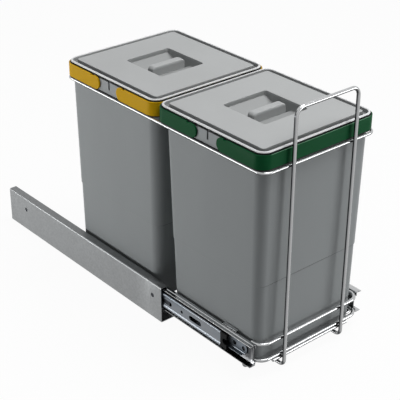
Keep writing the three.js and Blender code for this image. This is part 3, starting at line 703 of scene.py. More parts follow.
def pick(piece: bpy.types.Object, kind: Part, test: Callable[..., bool]) -> None:
    """Selects what passes a test in the edited piece, and nothing else.

    Args:
        piece: The piece in edit mode.
        kind: What is picked.
        test: Takes one point, edge or face and says whether it is picked.
    """
    bpy.ops.mesh.select_mode(type=kind.value)
    bpy.ops.mesh.select_all(action="DESELECT")
    mesh = bmesh.from_edit_mesh(piece.data)
    for part in {Part.POINT: mesh.verts, Part.EDGE: mesh.edges, Part.FACE: mesh.faces}[kind]:
        if test(part):
            part.select_set(True)
    mesh.select_flush_mode()
    bmesh.update_edit_mesh(piece.data)


def face_outwards() -> None:
    """Turns every face of the edited piece outwards."""
    bpy.ops.mesh.select_all(action="SELECT")
    bpy.ops.mesh.normals_make_consistent(inside=False)


def apply_modifier(piece: bpy.types.Object, kind: str, **settings: object) -> None:
    """Adds a modifier with its settings and applies it.

    Args:
        piece: The piece to change.
        kind: The modifier's type.
        settings: Values for the modifier's properties.
    """
    take(piece)
    modifier = piece.modifiers.new(kind.lower(), kind)
    for name, value in settings.items():
        setattr(modifier, name, value)
    bpy.ops.object.modifier_apply(modifier=modifier.name)


def combine(piece: bpy.types.Object, how: Mix, *others: bpy.types.Object) -> None:
    """Cuts, joins or intersects a piece with other solids, which are used up.

    Args:
        piece: The piece to change.
        how: What is done with each of the others.
        others: The other solids.
    """
    for other in others:
        apply_modifier(piece, "BOOLEAN", operation=how.value, object=other, solver="EXACT")
        bpy.data.objects.remove(other)


def soften(piece: bpy.types.Object, width: float, steps: int = 2, angle: float = 35.0) -> None:
    """Rounds the sharp edges of a piece and smooths the shading between them.

    Args:
        piece: The piece to finish.
        width: Width of the rounding.
        steps: Number of facets in the rounding.
        angle: Edges sharper than this many degrees are rounded.
    """
    apply_modifier(piece, "BEVEL", width=width * MM, segments=steps, limit_method="ANGLE",
                   angle_limit=math.radians(angle), use_clamp_overlap=False)
    bpy.ops.object.shade_smooth_by_angle(angle=math.radians(angle))
    apply_modifier(piece, "WEIGHTED_NORMAL", keep_sharp=True)


def mark(piece: bpy.types.Object, kind: Mark,
         share: Callable[[float, float, float], float]) -> None:
    """Marks the points of a finished piece.

    Args:
        piece: The piece.
        kind: Which mark.
        share: Takes a point's place in millimetres and gives its mark from 0 to 1.
    """
    values = piece.data.attributes.new(kind.value, "FLOAT", "POINT").data
    for vertex, value in zip(piece.data.vertices, values):
        value.value = float(share(*(vertex.co / MM)))


def split(piece: bpy.types.Object, place: Vector, normal: tuple[int, int, int],
          apart: float = 0.2) -> None:
    """Cuts a piece's faces along two close planes, so that a mark ends between them.

    Args:
        piece: The piece, which stays whole.
        place: A point halfway between the planes.
        normal: Direction across the planes.
        apart: Distance between the planes.
    """
    with editing(piece):
        for side in (-0.5, 0.5):
            bpy.ops.mesh.select_all(action="SELECT")
            bpy.ops.mesh.bisect(plane_co=(place + Vector(normal) * side * apart) * MM, plane_no=normal)


def copied(piece: bpy.types.Object, name: str, shift: Vector = Vector((0, 0, 0)),
           flip: tuple[int, int, int] = (1, 1, 1)) -> bpy.types.Object:
    """A moved or mirrored copy of a piece, with its own mesh.

    Args:
        piece: The piece to copy.
        name: The copy's name.
        shift: How far the copy is moved, in metres, after it is mirrored.
        flip: -1 for each axis that is mirrored.

    Returns:
        The copy, with its place in its mesh.
    """
    take(piece)
    bpy.ops.object.duplicate(linked=False)
    twin = bpy.context.active_object
    twin.scale = flip
    twin.location = shift
    twin = settle(name)
    if -1 in flip:
        with editing(twin):
            face_outwards()
    return twin


def plane(name: str, centre: Vector, size_x: float, size_y: float) -> bpy.types.Object:
    """A level rectangle, the start of a piece.

    Args:
        name: Its name.
        centre: Its middle.
        size_x, size_y: Its sizes.

    Returns:
        The rectangle.
    """
    bpy.ops.mesh.primitive_plane_add(size=1, location=centre * MM)
    bpy.context.active_object.scale = (size_x * MM, size_y * MM, 1)
    return settle(name)


def pin_across(name: str, x: tuple[float, float], y: float, z: float, radius: float,
               sides: int = PIN_SIDES) -> bpy.types.Object:
    """A round pin along X between two places.

    Args:
        name: Its name.
        x: Its ends.
        y, z: Place of its axis.
        radius: Its radius.
        sides: Number of its sides.

    Returns:
        The pin.
    """
    bpy.ops.mesh.primitive_cylinder_add(
        vertices=sides, radius=radius * MM, depth=abs(x[1] - x[0]) * MM,
        location=metres(sum(x) / 2, y, z), rotation=(0, RIGHT_ANGLE, 0))
    return settle(name)


def pin_upright(name: str, x: float, y: float, z: tuple[float, float],
                radius: float) -> bpy.types.Object:
    """A round pin along Z between two heights.

    Args:
        name: Its name.
        x, y: Place of its axis.
        z: Its ends.
        radius: Its radius.

    Returns:
        The pin.
    """
    bpy.ops.mesh.primitive_cylinder_add(
        vertices=PIN_SIDES, radius=radius * MM, depth=abs(z[1] - z[0]) * MM,
        location=metres(x, y, sum(z) / 2))
    return settle(name)


def block(name: str, low: Vector, high: Vector) -> bpy.types.Object:
    """A box between two corners, for cutting or as the start of a piece.

    Args:
        name: Its name.
        low, high: Its lowest and its highest corner.

    Returns:
        The box.
    """
    bpy.ops.mesh.primitive_cube_add(size=1, location=(low + high) / 2 * MM)
    bpy.context.active_object.scale = (high - low) * MM
    return settle(name)


def slot_across(name: str, x: tuple[float, float], y: float, length: float, z: float,
                height: float) -> bpy.types.Object:
    """A cutter for a slot with round ends through a sheet that stands across X.

    Args:
        name: Its name.
        x: How far it reaches along X.
        y: Where the slot starts.
        length: The slot's length along Y.
        z: Height of the slot's middle.
        height: The slot's width.

    Returns:
        The cutter.
    """
    piece = block(name, Vector((min(x), y, z - height / 2)),
                  Vector((max(x), y + length, z + height / 2)))
    with editing(piece):
        pick(piece, Part.EDGE, lambda e: abs(e.verts[0].co.x - e.verts[1].co.x) > NEAR * MM)
        bpy.ops.mesh.bevel(offset=HALF_ROUND * height * MM, segments=SLOT_STEPS, affect="EDGES")
        face_outwards()
    return piece


def reshape(piece: bpy.types.Object, last: Ring, ring: Ring) -> None:
    """Takes the picked outline from one ring's plan to the next, corner by corner.

    Args:
        piece: The piece in edit mode, with the outline picked.
        last: The outline as it is.
        ring: The outline as it will be.
    """
    mesh = bmesh.from_edit_mesh(piece.data)
    mesh.verts.index_update()
    outline = {v.index for v in mesh.verts if v.select}
    corners = {(side, end): {
        v.index for v in mesh.verts
        if v.select and side * v.co.x > 0 and end * (v.co.y - last.middle * MM) > 0}
        for side in (-1, 1) for end in (-1, 1)}
    for side in (-1, 1):
        for end in (-1, 1):
            old = metres(side * (last.x - last.r), last.middle + end * (last.y - last.r), 0)
            new = metres(side * (ring.x - ring.r), ring.middle + end * (ring.y - ring.r), 0)
            corner = corners[side, end]
            pick(piece, Part.POINT, lambda v: v.index in corner)
            growth = ring.r / last.r
            bpy.ops.transform.resize(value=(growth, growth, 1), center_override=old)
            bpy.ops.transform.translate(value=new - old)
    pick(piece, Part.POINT, lambda v: v.index in outline)


def stacked(name: str, rings: Sequence[Ring]) -> bpy.types.Object:
    """A closed solid raised ring by ring from a plane with round corners.

    Args:
        name: The piece's name.
        rings: The outlines in order. The first and the last are closed by flat faces.

    Returns:
        The piece.
    """
    first = rings[0]
    piece = plane(name, Vector((0, first.middle, first.z)), 2 * first.x, 2 * first.y)
    with editing(piece):
        bpy.ops.mesh.select_all(action="SELECT")
        bpy.ops.mesh.bevel(offset_type="OFFSET", offset=first.r * MM, segments=CORNER_STEPS,
                           profile=0.5, affect="VERTICES")
        bpy.ops.mesh.select_all(action="SELECT")
        for last, ring in zip(rings, rings[1:]):
            rise = Vector((0, 0, ring.z - last.z)) * MM
            bpy.ops.mesh.extrude_region_move(TRANSFORM_OT_translate={"value": rise})
            reshape(piece, last, ring)
        face_outwards()
    return piece


def round_over(start: Ring, radius: float, steps: int, sign: int = 1) -> list[Ring]:
    """Rings of a quarter round from an upright wall in to a level face.

    Args:
        start: The outline where the rounding begins.
        radius: Radius of the rounding.
        steps: Number of rings after the start.
        sign: 1 if the rounding rises and -1 if it falls.

    Returns:
        The rings, without the start.
    """
    rings = []
    for step in range(1, steps + 1):
        angle = RIGHT_ANGLE * step / steps
        rings.append(start.inset(radius * (1 - math.cos(angle)),
                                 start.z + sign * radius * math.sin(angle)))
    return rings


def relief_block(name: str, half_width: float, floor: Sequence[tuple[float, float]],
                 top: float) -> bpy.types.Object:
    """A block whose underside steps down and up along Y.

    Args:
        name: The piece's name.
        half_width: Half size along X.
        floor: Places along Y with the underside's height at each.
        top: Height of the flat top.

    Returns:
        The piece.
    """
    front, rear = floor[0][0], floor[-1][0]
    piece = plane(name, Vector((0, (front + rear) / 2, top)), 2 * half_width, rear - front)
    with editing(piece):
        for y, _ in floor[1:-1]:
            bpy.ops.mesh.select_all(action="SELECT")
            bpy.ops.mesh.bisect(plane_co=metres(0, y, 0), plane_no=(0, 1, 0))
        bpy.ops.mesh.select_all(action="SELECT")
        bpy.ops.mesh.extrude_region_move(TRANSFORM_OT_translate={"value": (0, 0, -CLEAR * MM)})
        for y, z in floor:
            pick(piece, Part.POINT, lambda v: v.co.z < (top - CLEAR / 2) * MM
                 and abs(v.co.y - y * MM) < NEAR * MM)
            bpy.ops.transform.translate(value=metres(0, 0, z - top + CLEAR))
        face_outwards()
    return piece


def folded_sheet(name: str, outline: Sequence[tuple[float, float]], folds: Sequence[float],
                 y: tuple[float, float], sheet: float, outwards: Vector) -> bpy.types.Object:
    """A strip of sheet metal folded along Y.

    Args:
        name: The piece's name.
        outline: Points in X and Z of the sheet's outer face, across the folds.
        folds: Outside radius of each fold, one for each point between the ends.
        y: Where the strip starts and ends along Y.
        sheet: Thickness, laid on the inner side.
        outwards: Direction that the outer face of the first run looks in.

    Returns:
        The piece, as a closed solid.
    """
    (x0, z0), (x1, z1) = outline[:2]
    run = Vector((x1 - x0, 0, z1 - z0))
    bpy.ops.mesh.primitive_plane_add(
        size=1, location=metres((x0 + x1) / 2, sum(y) / 2, (z0 + z1) / 2),
        rotation=(0, -math.atan2(run.z, run.x), 0))
    bpy.context.active_object.scale = (run.length * MM, (y[1] - y[0]) * MM, 1)
    piece = settle(name)

    def lies_at(vertex: bmesh.types.BMVert, point: tuple[float, float]) -> bool:
        """Whether a vertex lies over a point of the outline."""
        return (Vector((vertex.co.x, vertex.co.z)) - Vector(point) * MM).length < NEAR / 2 * MM

    with editing(piece):
        pick(piece, Part.EDGE, lambda e: all(lies_at(v, outline[1]) for v in e.verts))
        for (xa, za), (xb, zb) in zip(outline[1:], outline[2:]):
            bpy.ops.mesh.extrude_edges_move(
                TRANSFORM_OT_translate={"value": metres(xb - xa, 0, zb - za)})
        for point, radius in zip(outline[1:-1], folds):
            pick(piece, Part.EDGE, lambda e: all(lies_at(v, point) for v in e.verts))
            bpy.ops.mesh.bevel(offset=radius * MM, segments=FOLD_STEPS, affect="EDGES")
        face_outwards()
        mesh = bmesh.from_edit_mesh(piece.data)
        first_run = metres(x0, sum(y) / 2, z0)
        start = min(mesh.faces, key=lambda f: (f.calc_center_median() - first_run).length)
        if start.normal.dot(outwards) < 0:
            bpy.ops.mesh.flip_normals()
    apply_modifier(piece, "SOLIDIFY", thickness=sheet * MM, offset=-1.0, use_even_offset=True)
    return piece


def bent_wire(name: str, corners: Sequence[tuple[float, float, float]], bends: Sequence[float],
              radius: float, closed: bool = False) -> bpy.types.Object:
    """A round wire: a circle drawn along straight runs and spun round the bends.

    Args:
        name: The piece's name.
        corners: Corners of the wire's centre line, with its two ends unless it is closed.
        bends: Bend radius at each corner that isn't an end.
        radius: Radius of the wire.
        closed: Whether the ends are welded together.

    Returns:
        The piece.
    """
    path = [Vector(corner) * MM for corner in corners]
    if closed:
        seam_or_shade_line = (path[0] + path[-1]) / 2
        path = [seam_or_shade_line, *path, seam_or_shade_line]
    ahead = (path[1] - path[0]).normalized()
    bpy.ops.mesh.primitive_circle_add(
        vertices=WIRE_SIDES, radius=radius * MM, fill_type="NOTHING", location=path[0],
        rotation=ahead.to_track_quat("Z", "Y").to_euler())
    piece = settle(name)
    with editing(piece):
        bpy.ops.mesh.select_mode(type=Part.EDGE.value)
        bpy.ops.mesh.select_all(action="SELECT")
        here = path[0]
        for before, corner, after, bend in zip(path, path[1:], path[2:], bends):
            back = (before - corner).normalized()
            on = (after - corner).normalized()
            half = back.angle(on) / 2
            reach = bend * MM / math.tan(half)
            bpy.ops.mesh.extrude_edges_move(
                TRANSFORM_OT_translate={"value": corner + back * reach - here})
            bpy.ops.mesh.spin(
                steps=BEND_STEPS, angle=math.pi - 2 * half, axis=back.cross(on).normalized(),
                center=corner + (back + on).normalized() * (bend * MM / math.sin(half)))
            here = corner + on * reach
        bpy.ops.mesh.extrude_edges_move(TRANSFORM_OT_translate={"value": path[-1] - here})
        bpy.ops.mesh.select_all(action="SELECT")
        if closed:
            bpy.ops.mesh.remove_doubles(threshold=NEAR / 5 * MM)
        else:
            bpy.ops.mesh.fill_holes(sides=0)
        face_outwards()
    soften(piece, WIRE_END_ROUND * radius, WIRE_END_STEPS, WIRE_EDGE_ANGLE)
    return piece


# ---------------------------------------------------------------- dressing


class Wardrobe:
    """Holds one material for each slot and hands finished pieces over to the frame."""

    def __init__(self) -> None:
        """Builds every finish once."""
        self.materials = {finish.slot: finish.material() for finish in FINISHES}
        self.greasy_steel = GREASY_STEEL.material()

    def dress(self, piece: bpy.types.Object, slot: Slot) -> None:
        """Gives a piece the material of a slot."""
        piece.data.materials.clear()
        piece.data.materials.append(self.materials[slot])

    def darken(self, piece: bpy.types.Object) -> None:
        """Gives a steel piece the darker look of greasy steel."""
        piece.data.materials.clear()
        piece.data.materials.append(self.greasy_steel)

    def hand_over(self, piece: bpy.types.Object, body: str, slot: Slot, *nodes: str) -> None:
        """Dresses a finished piece and lets it ride on its body in place of its nodes.

        Args:
            piece: The finished piece.
            body: The body that carries it.
            slot: Its finish.
            nodes: The fixed nodes that it stands for.
        """
        self.dress(piece, slot)
        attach(piece, body)
        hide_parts(*nodes)
        LOG.info("%s rides on %s, %d faces", piece.name, body, len(piece.data.polygons))

    def dress_fixed_nodes(self) -> None:
        """Gives every fixed node its slot's material, and the ball cages a greasier look."""
        for part in frame["record"]["subparts"]:
            self.dress(frame["nodes"][part["node"]], Slot(part["material_slot"]))
            if part["node"].endswith("ball_cage"):
                self.darken(frame["nodes"][part["node"]])


# ---------------------------------------------------------------- cover rails and slides


@dataclass
class CoverRails:
    """Folded rails that are screwed to the cabinet floor and cover the slides."""

    sheet: float = 1.5
    top_flange: float = 14.0
    base_flange: float = 27.0
    fold: float = 2.4
    screw_hole_radius: float = 2.6
    screw_hole_from_web: float = 21.7
    screw_holes: int = 3
    rivet_hole_radius: float = 3.9
    rivet_radius: float = 3.6
    rivet_rim: float = 0.9
    rivet_hollow: float = 0.5
    rivet_softness: float = 0.2
    shade_reach: float = 50.0
    shade_fade: float = 40.0
    softness: float = 0.25

    def build(self, wardrobe: Wardrobe) -> None:
        """Builds both rails and their rivets.

        Args:
            wardrobe: Dresses the pieces and hands them over.
        """
        low, high = node_box("left_cover_rail")
        outline = [(low.x + self.base_flange, low.z), (low.x, low.z), (low.x, high.z),
                   (low.x + self.top_flange, high.z)]
        left = folded_sheet("left_rail_cover", outline, [self.fold, self.fold],
                            (low.y, high.y), self.sheet, Vector((0, 0, -1)))
        combine(left, Mix.CUT, *self._holes(low, high))
        right = copied(left, "right_rail_cover", flip=(-1, 1, 1))
        for side, rail in (("left", left), ("right", right)):
            soften(rail, self.softness)
            # Painted shade inside the front opening, fading towards the rear
            split(rail, Vector((0, low.y + self.shade_reach, 0)), (0, 1, 0), self.shade_fade)
            mark(rail, Mark.DARKENED, lambda x, y, z: abs(x) < abs(low.x) - self.sheet + NEAR
                 and y < low.y + self.shade_reach
                 and low.z + self.fold < z < high.z - self.sheet + NEAR)
            wardrobe.hand_over(rail, "cover_rails", Slot.GALVANISED, f"{side}_cover_rail")
            for end in ("front", "rear"):
                node = f"{side}_{end}_rail_rivet"
                rivet = self._rivet(node)
                wardrobe.hand_over(rivet, "cover_rails", Slot.SLIDE_STEEL, node)
                wardrobe.darken(rivet)

    def _holes(self, low: Vector, high: Vector) -> list[bpy.types.Object]:
        """Cutters for the screw holes and the rivet holes of the left rail.

        Args:
            low, high: The rail's lowest and highest corner.

        Returns:
            The cutters.
        """
        length = high.y - low.y
        cutters = []
        for hole in range(self.screw_holes):
            y = low.y + length * (hole + 0.5) / self.screw_holes
            cutters.append(pin_upright(
                "screw_hole", low.x + self.screw_hole_from_web, y,
                (low.z - CLEAR, low.z + self.sheet + CLEAR), self.screw_hole_radius))
        for end in ("front", "rear"):
            rivet_low, rivet_high = node_box(f"left_{end}_rail_rivet")
            middle = (rivet_low + rivet_high) / 2
            cutters.append(pin_across(
                "rivet_hole", (low.x - CLEAR, low.x + self.sheet + CLEAR), middle.y, middle.z,
                self.rivet_hole_radius))
        return cutters

    def _rivet(self, node: str) -> bpy.types.Object:
        """A flush rivet with a slightly hollow head.

        Args:
            node: The fixed node that it stands for.

        Returns:
            The rivet.
        """
        low, high = node_box(node)
        middle = (low + high) / 2
        outwards = -1 if middle.x < 0 else 1
        piece = pin_across(f"{node}_head", (low.x, high.x), middle.y, middle.z, self.rivet_radius)
        with editing(piece):
            pick(piece, Part.FACE, lambda f: f.normal.x * outwards > FACING)
            bpy.ops.mesh.inset(thickness=self.rivet_rim * MM)
            bpy.ops.mesh.inset(thickness=self.rivet_rim * MM)
            bpy.ops.transform.translate(value=metres(-outwards * self.rivet_hollow, 0, 0))
        soften(piece, self.rivet_softness)
        return piece


@dataclass
class BallSlides:
    """Three-part slides: outer member in the rail, middle member, inner member on the basket."""

    sheet: float = 1.0
    inner_sheet: float = 1.2
    track_fold: float = 2.6
    raceway: float = 4.35
    raceway_slope: float = 1.5
    raceway_fold: float = 0.7
    web_recess: float = 1.1
    slot_length: float = 29.0
    slot_height: float = 8.0
    slots_from_front: tuple[float, ...] = (46.0, 118.0, 196.0, 330.0)
    small_hole_from_front: float = 93.0
    small_hole_radius: float = 2.6
    nose_holes_from_front: tuple[float, ...] = (7.1, 27.4)
    nose_hole_radius: float = 3.8
    nose_slack: float = 0.02
    nose_sides: int = 64
    bare_nose: float = 52.0
    bumper_wall: float = 1.8
    bumper_notch_depth: float = 9.0
    bumper_notch_height: float = 10.0
    softness: float = 0.15

    def build(self, wardrobe: Wardrobe) -> None:
        """Builds the members of both slides.

        Args:
            wardrobe: Dresses the pieces and hands them over.
        """
        makers = (
            ("slide_outer", self._outer, "cover_rails", Slot.SLIDE_STEEL),
            ("slide_middle", self._middle, "{side}_middle_member", Slot.SLIDE_STEEL),
            ("slide_bumper", self._bumper, "{side}_middle_member", Slot.BLACK),
            ("slide_inner", self._inner, "basket", Slot.SLIDE_STEEL),
        )
        for node, make, body, slot in makers:
            left = make(*node_box(f"left_{node}"))
            left.name = f"left_{node}_member"
            right = copied(left, f"right_{node}_member", flip=(-1, 1, 1))
            for side, piece in (("left", left), ("right", right)):
                soften(piece, self.softness)
                wardrobe.hand_over(piece, body.format(side=side), slot, f"{side}_{node}")

    def _outer(self, low: Vector, high: Vector) -> bpy.types.Object:
        """Outer member, a wide channel with round ball tracks, open towards the basket.

        Args:
            low, high: The node's lowest and highest corner.

        Returns:
            The member, on the left side.
        """
        outline = [(high.x, low.z), (low.x, low.z), (low.x, high.z), (high.x, high.z)]
        return folded_sheet("outer", outline, [self.track_fold, self.track_fold],
                            (low.y, high.y), self.sheet, Vector((0, 0, -1)))

    def _middle(self, low: Vector, high: Vector) -> bpy.types.Object:
        """Middle member: raceways that bulge outwards and a recessed web with slots.

        Args:
            low, high: The node's lowest and highest corner.

        Returns:
            The member, on the left side.
        """
        recessed = low.x + self.web_recess
        slope = self.raceway_slope
        outline = [
            (high.x, low.z), (low.x + slope, low.z), (low.x, low.z + slope),
            (low.x, low.z + self.raceway), (recessed, low.z + self.raceway + slope),
            (recessed, high.z - self.raceway - slope), (low.x, high.z - self.raceway),
            (low.x, high.z - slope), (low.x + slope, high.z), (high.x, high.z),
        ]
        piece = folded_sheet("middle", outline, [self.raceway_fold] * (len(outline) - 2),
                             (low.y, high.y), self.sheet, Vector((0, 0, -1)))
        through = (low.x - CLEAR, low.x + self.web_recess + self.sheet + CLEAR)
        middle_z = (low.z + high.z) / 2
        cutters = [slot_across("slot", through, low.y + y, self.slot_length, middle_z,
                               self.slot_height) for y in self.slots_from_front]
        cutters.append(pin_across("small_hole", through, low.y + self.small_hole_from_front,
                                  middle_z, self.small_hole_radius))
        combine(piece, Mix.CUT, *cutters)
        return piece

    def _bumper(self, low: Vector, high: Vector) -> bpy.types.Object:
        """Plastic end collar with a notch that the inner member shows through.

        Args:
            low, high: The node's lowest and highest corner.

        Returns:
            The collar, on the left side.
        """
        slope = self.raceway_slope
        outline = [(high.x, low.z), (low.x + slope, low.z), (low.x, low.z + slope),
                   (low.x, high.z - slope), (low.x + slope, high.z), (high.x, high.z)]
        piece = folded_sheet("bumper", outline, [self.raceway_fold] * (len(outline) - 2),
                             (low.y, high.y), self.bumper_wall, Vector((0, 0, -1)))
        middle_z = (low.z + high.z) / 2
        notch = slot_across("notch", (low.x - CLEAR, low.x + self.bumper_wall + CLEAR),
                            low.y - self.bumper_notch_height / 2,
                            self.bumper_notch_depth + self.bumper_notch_height / 2, middle_z,
                            self.bumper_notch_height)
        combine(piece, Mix.CUT, notch)
        return piece

    def _inner(self, low: Vector, high: Vector) -> bpy.types.Object:
        """Inner member with a round nose and two holes near it, open outwards.

        Args:
            low, high: The node's lowest and highest corner.

        Returns:
            The member, on the left side.
        """
        outline = [(low.x, low.z), (high.x, low.z), (high.x, high.z), (low.x, high.z)]
        piece = folded_sheet("inner", outline, [self.track_fold, self.track_fold],
                             (low.y, high.y), self.inner_sheet, Vector((0, 0, -1)))
        radius = (high.z - low.z) / 2
        middle_z = (low.z + high.z) / 2
        across = (low.x - CLEAR, high.x + CLEAR)
        keep = pin_across("nose", across, low.y + radius, middle_z, radius + self.nose_slack,
                          self.nose_sides)
        rest = block("rest", Vector((across[0], low.y + radius, low.z - CLEAR)),
                     Vector((across[1], high.y + CLEAR, high.z + CLEAR)))
        combine(keep, Mix.JOIN, rest)
        combine(piece, Mix.KEEP, keep)
        holes = [pin_across("nose_hole", across, low.y + y, middle_z, self.nose_hole_radius)
                 for y in self.nose_holes_from_front]
        flange = block("flange", Vector((low.x - CLEAR, low.y - CLEAR, middle_z)),
                       Vector((high.x - self.inner_sheet, low.y + self.bare_nose, high.z + CLEAR)))
        combine(piece, Mix.CUT, *holes, flange)
        return piece


@dataclass
class SideChannels:
    """Channels that carry the basket on the inner members, with their clips and rivets."""

    sheet: float = 1.2
    fold: float = 1.4
    shelf_step: float = 0.8
    shelf_width: float = 5.2
    shelf_fold: float = 0.4
    rivet_head_height: float = 0.7
    rivet_shank: float = 0.61
    clip_round: float = 1.2
    clip_steps: int = 4
    clip_rim: float = 1.0
    clip_hollow: float = 0.5
    notch_length: float = 4.5
    notch_height: float = 24.0
    bare_end: float = 9.0
    lip_highlight: float = 1.6
    flange_shade: float = 0.7
    softness: float = 0.2

    def build(self, wardrobe: Wardrobe) -> None:
        """Builds both channels, their clips and their rivets.

        Args:
            wardrobe: Dresses the pieces and hands them over.
        """
        low, high = node_box("left_side_channel")
        outline = [
            (low.x, low.z), (high.x, low.z), (high.x, high.z),
            (high.x - self.shelf_width, high.z),
            (high.x - self.shelf_width - self.shelf_step, high.z - self.shelf_step),
            (low.x, high.z - self.shelf_step),
        ]
        folds = [self.fold] * 2 + [self.shelf_fold] * 2
        left = folded_sheet("left_basket_channel", outline, folds, (low.y, high.y), self.sheet,
                            Vector((0, 0, -1)))
        middle = (low.z + high.z) / 2
        combine(left, Mix.CUT, block(
            "end_notch",
            Vector((high.x - self.sheet - CLEAR, low.y - CLEAR, middle - self.notch_height / 2)),
            Vector((high.x + CLEAR, low.y + self.notch_length, middle + self.notch_height / 2))))
        right = copied(left, "right_basket_channel", flip=(-1, 1, 1))
        for side, channel in (("left", left), ("right", right)):
            soften(channel, self.softness)
            self._mark(channel, low, high)
            wardrobe.hand_over(channel, "basket", Slot.CHROME, f"{side}_side_channel")
            clip = self._clip(f"{side}_channel_clip")
            wardrobe.hand_over(clip, "basket", Slot.CHROME, f"{side}_channel_clip")
            for end in ("front", "rear"):
                node = f"{side}_{end}_channel_rivet"
                wardrobe.hand_over(self._rivet(node), "basket", Slot.SLIDE_STEEL, node)

    def _mark(self, channel: bpy.types.Object, low: Vector, high: Vector) -> None:
        """Marks the painted shade inside a channel and the painted highlight along its lip.

        Args:
            channel: The left or the right channel.
            low, high: The left channel's lowest and highest corner.
        """
        web = min(abs(low.x), abs(high.x)) + self.sheet
        lip = max(abs(low.x), abs(high.x))
        bare = low.y + self.bare_end
        covered = node_box("left_slide_middle")[0].y
        side = 1 if channel.data.vertices[0].co.x > 0 else -1
        split(channel, Vector((0, bare, 0)), (0, 1, 0))
        split(channel, Vector((0, covered, 0)), (0, 1, 0))
        split(channel, Vector((side * (lip - self.lip_highlight), 0, 0)), (1, 0, 0))

        def darken(x: float, y: float, z: float) -> float:
            """Painted shade: black under the top flange, less so on the lower flange ahead of the
            slide.

            Args:
                x, y, z: A point's place.

            Returns:
                The point's mark.
            """
            if abs(x) < web - NEAR or z > high.z - self.sheet + NEAR / 2:
                return 0.0
            if z > (low.z + high.z) / 2:
                return 1.0
            return self.flange_shade if bare < y < covered else 0.0

        mark(channel, Mark.DARKENED, darken)
        # Painted highlight along the top of the lip
        mark(channel, Mark.RUBBED, lambda x, y, z: abs(x) > lip - self.lip_highlight
             and z > high.z - self.sheet - NEAR)

    def _clip(self, node: str) -> bpy.types.Object:
        """A plate with a raised rim that clips over the channel's edge.

        Args:
            node: The fixed node that it stands for.

        Returns:
            The clip.
        """
        low, high = node_box(node)
        piece = block(f"{node}_plate", low, high)
        with editing(piece):
            pick(piece, Part.EDGE, lambda e: abs(e.verts[0].co.z - e.verts[1].co.z) > NEAR * MM)
            bpy.ops.mesh.bevel(offset=self.clip_round * MM, segments=self.clip_steps, affect="EDGES")
            pick(piece, Part.FACE, lambda f: f.normal.z > FACING)
            bpy.ops.mesh.inset(thickness=self.clip_rim * MM)
            bpy.ops.transform.translate(value=metres(0, 0, -self.clip_hollow))
        soften(piece, self.softness)
        return piece

    def _rivet(self, node: str) -> bpy.types.Object:
        """A rivet with a round head on each side of the sheets that it holds.

        Args:
            node: The fixed node that it stands for.

        Returns:
            The rivet.
        """
        low, high = node_box(node)
        middle = (low + high) / 2
        radius = (high.z - low.z) / 2
        piece = pin_across(f"{node}_heads", (low.x, high.x), middle.y, middle.z,
                           radius * self.rivet_shank)
        for x in ((low.x, low.x + self.rivet_head_height),
                  (high.x - self.rivet_head_height, high.x)):
            combine(piece, Mix.JOIN, pin_across("head", x, middle.y, middle.z, radius))
        soften(piece, self.softness)
        return piece


# ---------------------------------------------------------------- wire basket


